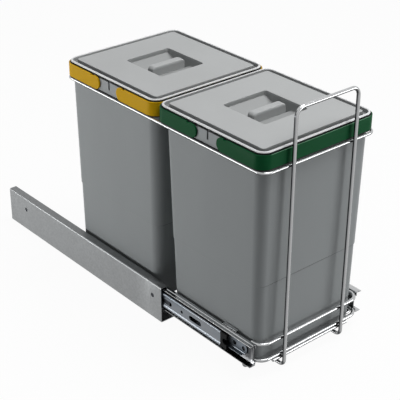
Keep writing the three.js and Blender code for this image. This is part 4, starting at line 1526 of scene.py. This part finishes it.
@dataclass
class WireBasket:
    """Chrome wires between the two channels: hoop, ring, front wires, cross bar, cradle."""

    wire: float = 3.0
    ring_wire: float = 2.5
    hoop_half_span: float = 62.1
    hoop_top_bend: float = 14.0
    runner_bend: float = 10.0
    front_wire_bend: float = 17.0
    cradle_bend: float = 6.0
    ring_corner: float = 15.0
    ring_to_post: float = 0.3
    # Direction of the light that the legs' painted shade and painted highlight follow
    leg_light: tuple[float, float] = (0.35, -0.94)
    leg_shade: float = 0.85
    leg_glint: float = 0.2
    leg_dark_under: float = 0.05
    leg_bright_over: float = 0.5
    leg_reach: float = 1.1

    def build(self, wardrobe: Wardrobe) -> None:
        """Builds every wire of the basket.

        Args:
            wardrobe: Dresses the pieces and hands them over.
        """
        for node, piece in {
            "hoop_wire": self._hoop(),
            "top_ring_wire": self._ring(),
            "upper_front_wire": self._front_wire("upper_front_wire"),
            "lower_front_wire": self._front_wire("lower_front_wire"),
            "lower_cross_bar": self._cross_bar(),
            "front_cradle_wire": self._cradle("front_cradle_wire"),
            "middle_cradle_wire": self._cradle("middle_cradle_wire"),
            "rear_cradle_wire": self._cradle("rear_cradle_wire"),
        }.items():
            wardrobe.hand_over(piece, "basket", Slot.CHROME, node)

    def _hoop(self) -> bpy.types.Object:
        """Top loop, front legs, runners under the basket and rear posts, all one wire.

        Returns:
            The hoop.
        """
        low, high = node_box("hoop_wire")
        front, rear = low.y + self.wire, high.y - self.wire
        top, bottom = high.z - self.wire, low.z + self.wire
        post = node_box("top_ring_wire")[0].z - self.ring_to_post
        span = self.hoop_half_span
        corners = [(-span, rear, post), (-span, rear, bottom), (-span, front, bottom),
                   (-span, front, top), (span, front, top), (span, front, bottom),
                   (span, rear, bottom), (span, rear, post)]
        bends = [self.runner_bend] * 2 + [self.hoop_top_bend] * 2 + [self.runner_bend] * 2
        hoop = bent_wire("basket_hoop", corners, bends, self.wire)
        lit = Vector(self.leg_light).normalized()

        def towards_light(x: float, y: float) -> float:
            """Share of a leg's outward direction that looks at the light, from -1 to 1."""
            return Vector((x - math.copysign(span, x), y - front)).dot(lit) / self.wire

        def on_leg(y: float, z: float) -> bool:
            """Whether a point lies on one of the front legs."""
            return (abs(y - front) < self.leg_reach * self.wire
                    and bottom + self.wire < z < top - self.wire)

        # Painted shade on the legs' side away from the light, and a painted highlight on the side
        # towards it
        mark(hoop, Mark.DARKENED, lambda x, y, z: self.leg_shade
             * (on_leg(y, z) and towards_light(x, y) < self.leg_dark_under))
        mark(hoop, Mark.RUBBED, lambda x, y, z: self.leg_glint
             * (on_leg(y, z) and towards_light(x, y) > self.leg_bright_over))
        return hoop

    def _ring(self) -> bpy.types.Object:
        """The ring under the rims of both bins.

        Returns:
            The ring.
        """
        low, high = node_box("top_ring_wire")
        x, z = high.x - self.ring_wire, (low.z + high.z) / 2
        front, rear = low.y + self.ring_wire, high.y - self.ring_wire
        corners = [(-x, front, z), (x, front, z), (x, rear, z), (-x, rear, z)]
        return bent_wire("basket_ring", corners, [self.ring_corner] * 4, self.ring_wire, closed=True)

    def _front_wire(self, node: str) -> bpy.types.Object:
        """A wire that runs round the front from one channel to the other.

        Args:
            node: The fixed node that it stands for.

        Returns:
            The wire.
        """
        low, high = node_box(node)
        x, z, front = high.x - self.wire, (low.z + high.z) / 2, low.y + self.wire
        corners = [(-x, high.y, z), (-x, front, z), (x, front, z), (x, high.y, z)]
        return bent_wire(f"basket_{node}", corners, [self.front_wire_bend] * 2, self.wire)

    def _cross_bar(self) -> bpy.types.Object:
        """The short bar under the lower front wire.

        Returns:
            The bar.
        """
        low, high = node_box("lower_cross_bar")
        y, z = (low.y + high.y) / 2, (low.z + high.z) / 2
        return bent_wire("basket_cross_bar", [(low.x, y, z), (high.x, y, z)], [], self.wire)

    def _cradle(self, node: str) -> bpy.types.Object:
        """A wire across the runners that turns up to the channels.

        Args:
            node: The fixed node that it stands for.

        Returns:
            The wire.
        """
        low, high = node_box(node)
        x, y, bottom = high.x - self.wire, (low.y + high.y) / 2, low.z + self.wire
        corners = [(-x, y, high.z), (-x, y, bottom), (x, y, bottom), (x, y, high.z)]
        return bent_wire(f"basket_{node}", corners, [self.cradle_bend] * 2, self.wire)


# ---------------------------------------------------------------- bins


@dataclass(frozen=True)
class RearWall:
    """How much further in a bin's rear wall stands at its neck, and leans in below it."""

    inset: float = 0.0
    draft: float = 0.0


@dataclass
class BinShape:
    """Sizes of one bin, its coloured band and its lid, measured from the bin's centre line."""

    bottom: float = 18.1
    neck: Ring = Ring(350.5, 110.2, 112.0, 18.0)
    draft: float = 5.0
    step_z: float = 156.0
    step_height: float = 0.6
    step: float = 0.8
    foot_corner: float = 15.0
    foot_round: float = 5.0
    round_steps: int = 5
    wall: float = 2.2
    floor: float = 2.5
    ledge: float = 1.5
    gap: float = 0.3
    band: Ring = Ring(352.3, 116.5, 116.9, 19.0)
    band_height: float = 22.4
    # How far the painted shade and the painted highlight reach on the bands
    band_shade: float = 1.2
    band_edge: float = 1.2
    band_highlight_past_corner: float = 1.0
    rim_half_width: float = 113.2
    rim_half_depth: float = 114.6
    rim_corner: float = 15.7
    rim_below_band: float = 0.7
    slit_width: float = 3.0
    slit_depth: float = 14.5
    arm: float = 3.0
    crosspiece: float = 1.8
    arm_corner: float = 16.6
    tip_from_centre: float = 22.0
    tip_steps: int = 14
    pivot_above_middle: float = 3.0
    pin_radius: float = 4.0
    pin_length: float = 2.0
    pin_clearance: float = 0.3
    notch_from_tip: float = 15.0
    notch_length: float = 6.0
    notch_depth: float = 1.8
    lid: Ring = Ring(378.7, 112.9, 114.1, 16.0)
    lid_rim: float = 4.4
    bead_round: float = 1.8
    bead_height: float = 3.0
    bead_neck: float = 1.5
    bead_lip_inset: float = 0.2
    bead_lip_rise: float = 0.5
    bead_inside: float = 3.4
    bead_slant: float = 0.6
    # Painted shade under the bead reaches this far above its underside
    bead_dark_height: float = 0.2
    lid_skirt_inset: float = 2.4
    lid_skirt: float = 6.3
    lid_skirt_bare: float = 0.3
    groove_inset: float = 4.8
    groove_width: float = 6.6
    groove_depth: float = 6.7
    groove_slant_outside: float = 0.4
    groove_slant_inside: float = 0.3
    # Painted shade in the groove: its share, height and reach past the groove's sides
    groove_shade: float = 0.4
    groove_dark_height: float = 1.0
    groove_dark_past: tuple[float, float] = (1.0, 0.5)
    panel: float = 3.0
    well_half_width: float = 44.0
    well_wall: float = 2.4
    well_corner: float = 4.5
    well_steps: int = 6
    well_floor: tuple[tuple[float, float], ...] = (
        (-45.0, 5.0), (-28.0, 13.0), (-10.0, 15.0), (3.0, 24.0), (10.0, 24.0), (46.5, 7.5))
    bar_half_length: float = 33.5
    bar_y: float = -3.0
    bar_half_thickness: float = 7.0
    bar_above_top: float = 0.8
    bar_corner: float = 2.4
    bar_end_round: float = 7.0
    bar_side_round: float = 1.8
    bar_side_power: int = 3
    bar_steps: int = 8
    softness: float = 0.5
    soft_steps: int = 3

    @property
    def pivot_z(self) -> float:
        """Height of the handles' pivots."""
        return self.band.z + self.band_height / 2 + self.pivot_above_middle

    @property
    def pivot_y(self) -> float:
        """Distance of the handles' pivots from the bin's centre."""
        return self.tip_from_centre + self.band_height / 2

    def outside(self, z: float, rear_wall: RearWall, inset: float = 0.0) -> Ring:
        """The bin's outside at one height below the ledge.

        Args:
            z: The height.
            rear_wall: How far in the rear wall stands.
            inset: How far in from the outside, for the hollow's walls.

        Returns:
            The outline.
        """
        share = (self.neck.z - z) / (self.neck.z - self.bottom)
        drawn_in = self.draft * share + (self.step if z < self.step_z else 0) + inset
        corner = self.neck.r + (self.foot_corner - self.neck.r) * share - inset
        rear = rear_wall.inset + rear_wall.draft * share
        return Ring(z, self.neck.x - drawn_in, self.neck.y - drawn_in - rear / 2, corner, -rear / 2)


@dataclass
class WasteBins:
    """Both bins with their swing handles and lids."""

    shape: BinShape
    rear_walls: tuple[tuple[str, RearWall], ...] = (
        ("rear", RearWall()), ("front", RearWall(inset=7.7, draft=10.0)))

    def build(self, wardrobe: Wardrobe) -> None:
        """Models two bins, one lid and two handles at the centre, then copies them.

        Args:
            wardrobe: Dresses the pieces and hands them over.
        """
        tubs = {place: self._tub(wall) for place, wall in self.rear_walls}
        masters = {
            "lid": self._lid(),
            "front_handle": self._handle(-1),
            "rear_handle": self._handle(1),
        }
        for master in (*masters.values(), *tubs.values()):
            soften(master, self.shape.softness, self.shape.soft_steps)
        self._mark(masters)
        for place, band in (("rear", Slot.YELLOW), ("front", Slot.GREEN)):
            low, high = node_box(f"{place}_bin")
            shift = metres(0, (low.y + high.y) / 2, 0)
            tub = copied(tubs[place], f"{place}_waste_bin", shift)
            wardrobe.hand_over(tub, f"{place}_bin_body", Slot.BIN, f"{place}_bin")
            for part, body, slot, node in (
                ("lid", f"{place}_lid", Slot.LID, f"{place}_bin_lid"),
                ("front_handle", f"{place}_bin_handle_f", band, f"{place}_bin_front_handle"),
                ("rear_handle", f"{place}_bin_handle_r", band, f"{place}_bin_rear_handle"),
            ):
                piece = copied(masters[part], f"{place}_waste_{part}", shift)
                wardrobe.hand_over(piece, body, slot, node)
        for master in (*masters.values(), *tubs.values()):
            bpy.data.objects.remove(master)

    def _tub(self, rear_wall: RearWall) -> bpy.types.Object:
        """The bin: foot, tapered walls with a step, ledge, recessed rim, and the hollow inside.

        Args:
            rear_wall: How far in its rear wall stands.

        Returns:
            The bin.
        """
        s = self.shape
        foot = s.outside(s.bottom + s.foot_round, rear_wall)
        under = reversed(round_over(foot, s.foot_round, s.round_steps, -1))
        ledge_top = s.neck.z + s.ledge
        ledge = Ring(s.neck.z, s.band.x - s.gap, s.band.y - s.gap, s.band.r - s.gap)
        rim = Ring(ledge_top, s.rim_half_width, s.rim_half_depth, s.rim_corner)
        rim_top = s.band.z + s.band_height - s.rim_below_band
        inner_foot = s.outside(s.bottom + s.floor + s.foot_round, rear_wall, s.wall)
        neck = s.outside(s.neck.z, rear_wall)
        rings = [
            *under, foot, s.outside(s.step_z - s.step_height, rear_wall),
            s.outside(s.step_z, rear_wall), neck,
            ledge, ledge.inset(0, ledge_top), rim, rim.inset(0, rim_top),
            rim.inset(s.wall, rim_top), rim.inset(s.wall, ledge_top + s.wall),
            s.outside(s.neck.z, rear_wall, s.wall), s.outside(s.step_z, rear_wall, s.wall),
            s.outside(s.step_z - s.step_height, rear_wall, s.wall), inner_foot,
            *round_over(inner_foot, s.foot_round, s.round_steps, -1),
        ]
        tub = stacked("tub", rings)
        for side in (-1, 1):
            pins = [pin_across("pin", (side * (s.rim_half_width - s.wall / 2),
                                       side * (s.rim_half_width + s.pin_length)),
                               end * s.pivot_y, s.pivot_z, s.pin_radius) for end in (-1, 1)]
            combine(tub, Mix.JOIN, *pins)
            x = sorted((side * (s.rim_half_width - 2 * s.wall), side * (s.rim_half_width + CLEAR)))
            combine(tub, Mix.CUT, block(
                "slit", Vector((x[0], -s.slit_width / 2, rim_top - s.slit_depth)),
                Vector((x[1], s.slit_width / 2, rim_top + CLEAR))))
        return tub

    def _handle(self, end: int) -> bpy.types.Object:
        """One half of the coloured band, a U that swings up round two pins.

        Args:
            end: -1 for the front handle and 1 for the rear one.

        Returns:
            The handle.
        """
        s = self.shape
        top = s.band.z + s.band_height
        handle = stacked("handle", [s.band, s.band.inset(0, top)])
        inside = Ring(s.band.z - CLEAR, s.band.x - s.arm, s.band.y - s.crosspiece, s.arm_corner)
        combine(handle, Mix.CUT, stacked("inside", [inside, inside.inset(0, top + CLEAR)]))
        tip = end * s.tip_from_centre
        with editing(handle):
            bpy.ops.mesh.select_all(action="SELECT")
            bpy.ops.mesh.bisect(plane_co=metres(0, tip, 0), plane_no=(0, end, 0), use_fill=True,
                                clear_inner=True)
            pick(handle, Part.EDGE, lambda e: all(abs(v.co.y - tip * MM) < SAME * MM for v in e.verts)
                 and abs(e.verts[0].co.x - e.verts[1].co.x) > NEAR * MM)
            bpy.ops.mesh.bevel(offset=HALF_ROUND * s.band_height * MM, segments=s.tip_steps,
                               affect="EDGES")
            face_outwards()
        arm_inside = s.band.x - s.arm
        for side in (-1, 1):
            recess = pin_across(
                "recess", (side * (arm_inside - CLEAR), side * (arm_inside + s.pin_length)),
                end * s.pivot_y, s.pivot_z, s.pin_radius + s.pin_clearance)
            y = sorted((end * (s.tip_from_centre + s.notch_from_tip),
                        end * (s.tip_from_centre + s.notch_from_tip + s.notch_length)))
            x = sorted((side * (arm_inside - CLEAR), side * (s.band.x + CLEAR)))
            notch = block("notch", Vector((x[0], y[0], top - s.notch_depth)),
                          Vector((x[1], y[1], top + CLEAR)))
            combine(handle, Mix.CUT, recess, notch)
        return handle

    def _lid(self) -> bpy.types.Object:
        """The lid: rounded rim, groove, flat panel and a well with a grip bar across it.

        Returns:
            The lid.
        """
        s = self.shape
        top = s.lid.z
        rim_bottom = top - s.lid_rim
        skirt_bottom = rim_bottom - s.lid_skirt
        groove_inside = s.groove_inset + s.groove_width
        hollow = groove_inside + s.well_wall
        shoulder = s.lid.inset(0, top - s.bead_round)
        rings = [
            s.lid.inset(hollow, top - s.panel), s.lid.inset(hollow, skirt_bottom),
            s.lid.inset(s.lid_skirt_inset, skirt_bottom), s.lid.inset(s.lid_skirt_inset, rim_bottom),
            s.lid.inset(s.bead_neck, rim_bottom), s.lid.inset(s.bead_neck, top - s.bead_height),
            s.lid.inset(s.bead_lip_inset, top - s.bead_height + s.bead_lip_rise), shoulder,
            *round_over(shoulder, s.bead_round, s.round_steps),
            s.lid.inset(s.bead_inside - s.bead_slant, top),
            s.lid.inset(s.bead_inside, top - s.bead_slant),
            s.lid.inset(s.bead_inside + s.groove_slant_outside, top - s.groove_depth),
            s.lid.inset(groove_inside - s.groove_slant_inside, top - s.groove_depth),
            s.lid.inset(groove_inside, top),
        ]
        lid = stacked("lid", rings)
        floor = [(y, top - depth) for y, depth in s.well_floor]
        under = [(y, z - s.well_wall) for y, z in floor]
        under[0] = (under[0][0] - s.well_wall, under[0][1])
        under[-1] = (under[-1][0] + s.well_wall, under[-1][1])
        bowl = relief_block("bowl", s.well_half_width + s.well_wall, under, top - s.panel / 2)
        pocket = relief_block("pocket", s.well_half_width, floor, top + CLEAR)
        for cutter in (bowl, pocket):
            self._round_upright_corners(cutter)
        bar = stacked("bar", self._bar_rings(top))
        combine(lid, Mix.JOIN, bowl)
        combine(lid, Mix.CUT, pocket)
        combine(lid, Mix.JOIN, bar)
        return lid

    def _bar_rings(self, top: float) -> list[Ring]:
        """Outlines of the grip bar, whose top is rounded down to both ends.

        Args:
            top: Height of the lid's top.

        Returns:
            The outlines from the bottom up.
        """
        s = self.shape
        deepest = max(depth for _, depth in s.well_floor)
        rings = [Ring(top - deepest - s.well_wall / 2, s.bar_half_length, s.bar_half_thickness,
                      s.bar_corner, s.bar_y)]
        for step in range(s.bar_steps + 1):
            share = step / s.bar_steps
            turn = RIGHT_ANGLE * share
            rings.append(Ring(top + s.bar_above_top - s.bar_end_round * (1 - math.sin(turn)),
                              s.bar_half_length - s.bar_end_round * (1 - math.cos(turn)),
                              s.bar_half_thickness - s.bar_side_round * share ** s.bar_side_power,
                              s.bar_corner, s.bar_y))
        return rings

    def _mark(self, masters: dict[str, bpy.types.Object]) -> None:
        """Marks the painted highlights on the beads and crosspieces, and the painted shade in the gaps
        at the lids and the bands.

        Args:
            masters: The lid and both handles, by part.
        """
        s = self.shape
        bead_bottom = s.lid.z - s.bead_height + s.bead_dark_height
        groove_top = s.lid.z - s.groove_depth + s.groove_dark_height
        groove_start = s.groove_inset - s.groove_dark_past[0]
        groove_end = s.groove_inset + s.groove_width + s.groove_dark_past[1]

        def lid_shade(x: float, y: float, z: float) -> float:
            """Painted shade: dark under the bead, less dark on the groove's floor.

            Args:
                x, y, z: A point's place.

            Returns:
                The point's mark.
            """
            depth = s.lid.depth(x, y)
            if depth < s.lid_skirt_inset - s.lid_skirt_bare and z < bead_bottom:
                return 1.0
            in_groove = groove_start < depth < groove_end and z < groove_top
            return s.groove_shade if in_groove else 0.0

        mark(masters["lid"], Mark.DARKENED, lid_shade)
        # Painted highlight on the bead
        mark(masters["lid"], Mark.RUBBED, lambda x, y, z: z > bead_bottom
             and s.lid.depth(x, y) < s.bead_inside)
        top = s.band.z + s.band_height
        for handle in ("front_handle", "rear_handle"):
            split(masters[handle], Vector((0, 0, top - s.band_edge)), (0, 0, 1))
            # Painted shade at the band's inner top edge
            mark(masters[handle], Mark.DARKENED, lambda x, y, z: z > top - s.band_edge
                 and s.band.depth(x, y) > s.band_shade)
            # Painted highlight on the crosspiece's top
            mark(masters[handle], Mark.RUBBED, lambda x, y, z: z > top - s.softness / 2
                 and abs(y) > s.band.y - s.crosspiece
                 and abs(x) < s.band.x - s.band.r + s.band_highlight_past_corner)

    def _round_upright_corners(self, piece: bpy.types.Object) -> None:
        """Rounds the four upright edges of a well block.

        Args:
            piece: The block.
        """
        with editing(piece):
            pick(piece, Part.EDGE, lambda e: abs(e.verts[0].co.z - e.verts[1].co.z) > NEAR * MM
                 and (e.verts[0].co - e.verts[1].co).xy.length < SAME * MM
                 and len(e.link_faces) == 2
                 and abs(e.link_faces[0].normal.dot(e.link_faces[1].normal)) < CORNER)
            bpy.ops.mesh.bevel(offset=self.shape.well_corner * MM, segments=self.shape.well_steps,
                               affect="EDGES")
            face_outwards()


# ---------------------------------------------------------------- studio


@dataclass(frozen=True)
class SoftBox:
    """A rectangular soft light: its place, size in metres and power in watts."""

    name: str
    place: tuple[float, float, float]
    width: float
    height: float
    power: float


@dataclass
class Studio:
    """Pale floor, soft light and the camera at the photograph's viewing angle."""

    azimuth: float = -40.74
    elevation: float = 28.34
    roll: float = 0.37
    distance: float = 1.875
    target: tuple[float, float, float] = (0.0122, -0.0480, 0.1516)
    lens: float = 100.8
    sensor: float = 36.0
    clip: tuple[float, float] = (0.05, 100.0)
    floor_size: float = 40.0
    floor_grey: float = 0.38
    floor_white: float = 0.88
    floor_glow: float = 0.95
    floor_roughness: float = 0.8
    floor_below: float = 0.0006
    sky: tuple[float, float, float, float] = (0.97, 0.98, 1.0, 1.0)
    haze: float = 0.25
    horizon: float = 0.03
    zenith: float = 0.33
    lamps: tuple[SoftBox, ...] = (
        SoftBox("overhead", (0.5, -0.65, 2.4), 1.3, 1.3, 38.0),
        SoftBox("left_low", (-1.25, 0.75, 0.12), 1.3, 0.4, 15.0),
        SoftBox("front_low", (1.2, -1.75, 0.3), 1.2, 0.4, 15.0),
    )

    def build(self) -> None:
        """Builds the floor, the lamps, the world and the camera."""
        self._floor()
        self._world()
        for lamp in self.lamps:
            self._lamp(lamp)
        self._camera()

    def _seen(self, nodes: bpy.types.Nodes, links: bpy.types.NodeLinks) -> bpy.types.NodeSocket:
        """1 for rays of the camera, of a reflection or through glass, and 0 for the light itself.

        Args:
            nodes, links: The nodes and links of the material or the world.

        Returns:
            The value.
        """
        path = nodes.new("ShaderNodeLightPath")
        total = path.outputs["Is Camera Ray"]
        for ray in ("Is Glossy Ray", "Is Transmission Ray"):
            add = nodes.new("ShaderNodeMath")
            add.operation = "MAXIMUM"
            links.new(total, add.inputs[0])
            links.new(path.outputs[ray], add.inputs[1])
            total = add.outputs[0]
        return total

    def _floor(self) -> None:
        """A floor that is seen white, keeps the shadow and sends little light back up."""
        bpy.ops.mesh.primitive_plane_add(size=self.floor_size, location=(0, 0, -self.floor_below))
        floor = settle("floor")
        material = bpy.data.materials.new("white_floor")
        material.use_nodes = True
        nodes, links = material.node_tree.nodes, material.node_tree.links
        shader = nodes["Principled BSDF"]
        shader.inputs["Roughness"].default_value = self.floor_roughness
        shader.inputs["Specular IOR Level"].default_value = 0.0
        seen = self._seen(nodes, links)
        tone = nodes.new("ShaderNodeMix")
        tone.data_type = "RGBA"
        tone.inputs["A"].default_value = (self.floor_grey,) * 3 + (1,)
        tone.inputs["B"].default_value = (self.floor_white,) * 3 + (1,)
        links.new(seen, tone.inputs["Factor"])
        links.new(tone.outputs["Result"], shader.inputs["Base Color"])
        glow = nodes.new("ShaderNodeEmission")
        share = nodes.new("ShaderNodeMath")
        share.operation = "MULTIPLY"
        share.inputs[1].default_value = self.floor_glow
        links.new(seen, share.inputs[0])
        mix = nodes.new("ShaderNodeMixShader")
        links.new(share.outputs[0], mix.inputs["Fac"])
        links.new(shader.outputs["BSDF"], mix.inputs[1])
        links.new(glow.outputs["Emission"], mix.inputs[2])
        links.new(mix.outputs["Shader"], nodes["Material Output"].inputs["Surface"])
        floor.data.materials.append(material)

    def _world(self) -> None:
        """A dome that is dim at the horizon, brighter overhead and seen white."""
        world = bpy.data.worlds.new("studio")
        bpy.context.scene.world = world
        world.use_nodes = True
        nodes, links = world.node_tree.nodes, world.node_tree.links
        dome = nodes["Background"]
        dome.inputs["Color"].default_value = self.sky
        direction = nodes.new("ShaderNodeTexCoord")
        split = nodes.new("ShaderNodeSeparateXYZ")
        links.new(direction.outputs["Generated"], split.inputs["Vector"])
        rise = nodes.new("ShaderNodeMapRange")
        rise.inputs["From Min"].default_value = self.haze
        rise.inputs["To Min"].default_value = self.horizon
        rise.inputs["To Max"].default_value = self.zenith
        links.new(split.outputs["Z"], rise.inputs["Value"])
        links.new(rise.outputs["Result"], dome.inputs["Strength"])
        white = nodes.new("ShaderNodeBackground")
        mix = nodes.new("ShaderNodeMixShader")
        links.new(self._seen(nodes, links), mix.inputs["Fac"])
        links.new(dome.outputs["Background"], mix.inputs[1])
        links.new(white.outputs["Background"], mix.inputs[2])
        links.new(mix.outputs["Shader"], nodes["World Output"].inputs["Surface"])

    def _lamp(self, lamp: SoftBox) -> None:
        """A soft box that looks at the middle of the unit.

        Args:
            lamp: The soft box.
        """
        data = bpy.data.lights.new(lamp.name, "AREA")
        data.shape = "RECTANGLE"
        data.size, data.size_y = lamp.width, lamp.height
        data.energy = lamp.power
        box = bpy.data.objects.new(lamp.name, data)
        bpy.context.scene.collection.objects.link(box)
        box.location = lamp.place
        towards = Vector(self.target) - Vector(lamp.place)
        box.rotation_euler = towards.to_track_quat("-Z", "Y").to_euler()

    def _camera(self) -> None:
        """The camera, set by its direction, distance, roll and lens."""
        azimuth, elevation = math.radians(self.azimuth), math.radians(self.elevation)
        back = Vector((math.sin(azimuth) * math.cos(elevation),
                       -math.cos(azimuth) * math.cos(elevation), math.sin(elevation)))
        data = bpy.data.cameras.new("photo_camera")
        data.lens = self.lens
        data.sensor_width = self.sensor
        data.clip_start, data.clip_end = self.clip
        camera = bpy.data.objects.new("photo_camera", data)
        bpy.context.scene.collection.objects.link(camera)
        camera.location = Vector(self.target) + back * self.distance
        camera.rotation_mode = "QUATERNION"
        camera.rotation_quaternion = (-back).to_track_quat("-Z", "Y") @ Quaternion(
            (0, 0, 1), math.radians(self.roll))
        bpy.context.scene.camera = camera


def main() -> None:
    """Builds the studio and every piece, and logs each piece's body and face count."""
    logging.basicConfig(level=logging.INFO, format="%(message)s")
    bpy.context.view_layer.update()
    Studio().build()
    wardrobe = Wardrobe()
    wardrobe.dress_fixed_nodes()
    CoverRails().build(wardrobe)
    BallSlides().build(wardrobe)
    SideChannels().build(wardrobe)
    WireBasket().build(wardrobe)
    WasteBins(BinShape()).build(wardrobe)
    bpy.context.scene.view_settings.view_transform = "Standard"


if __name__ == "__main__":
    main()
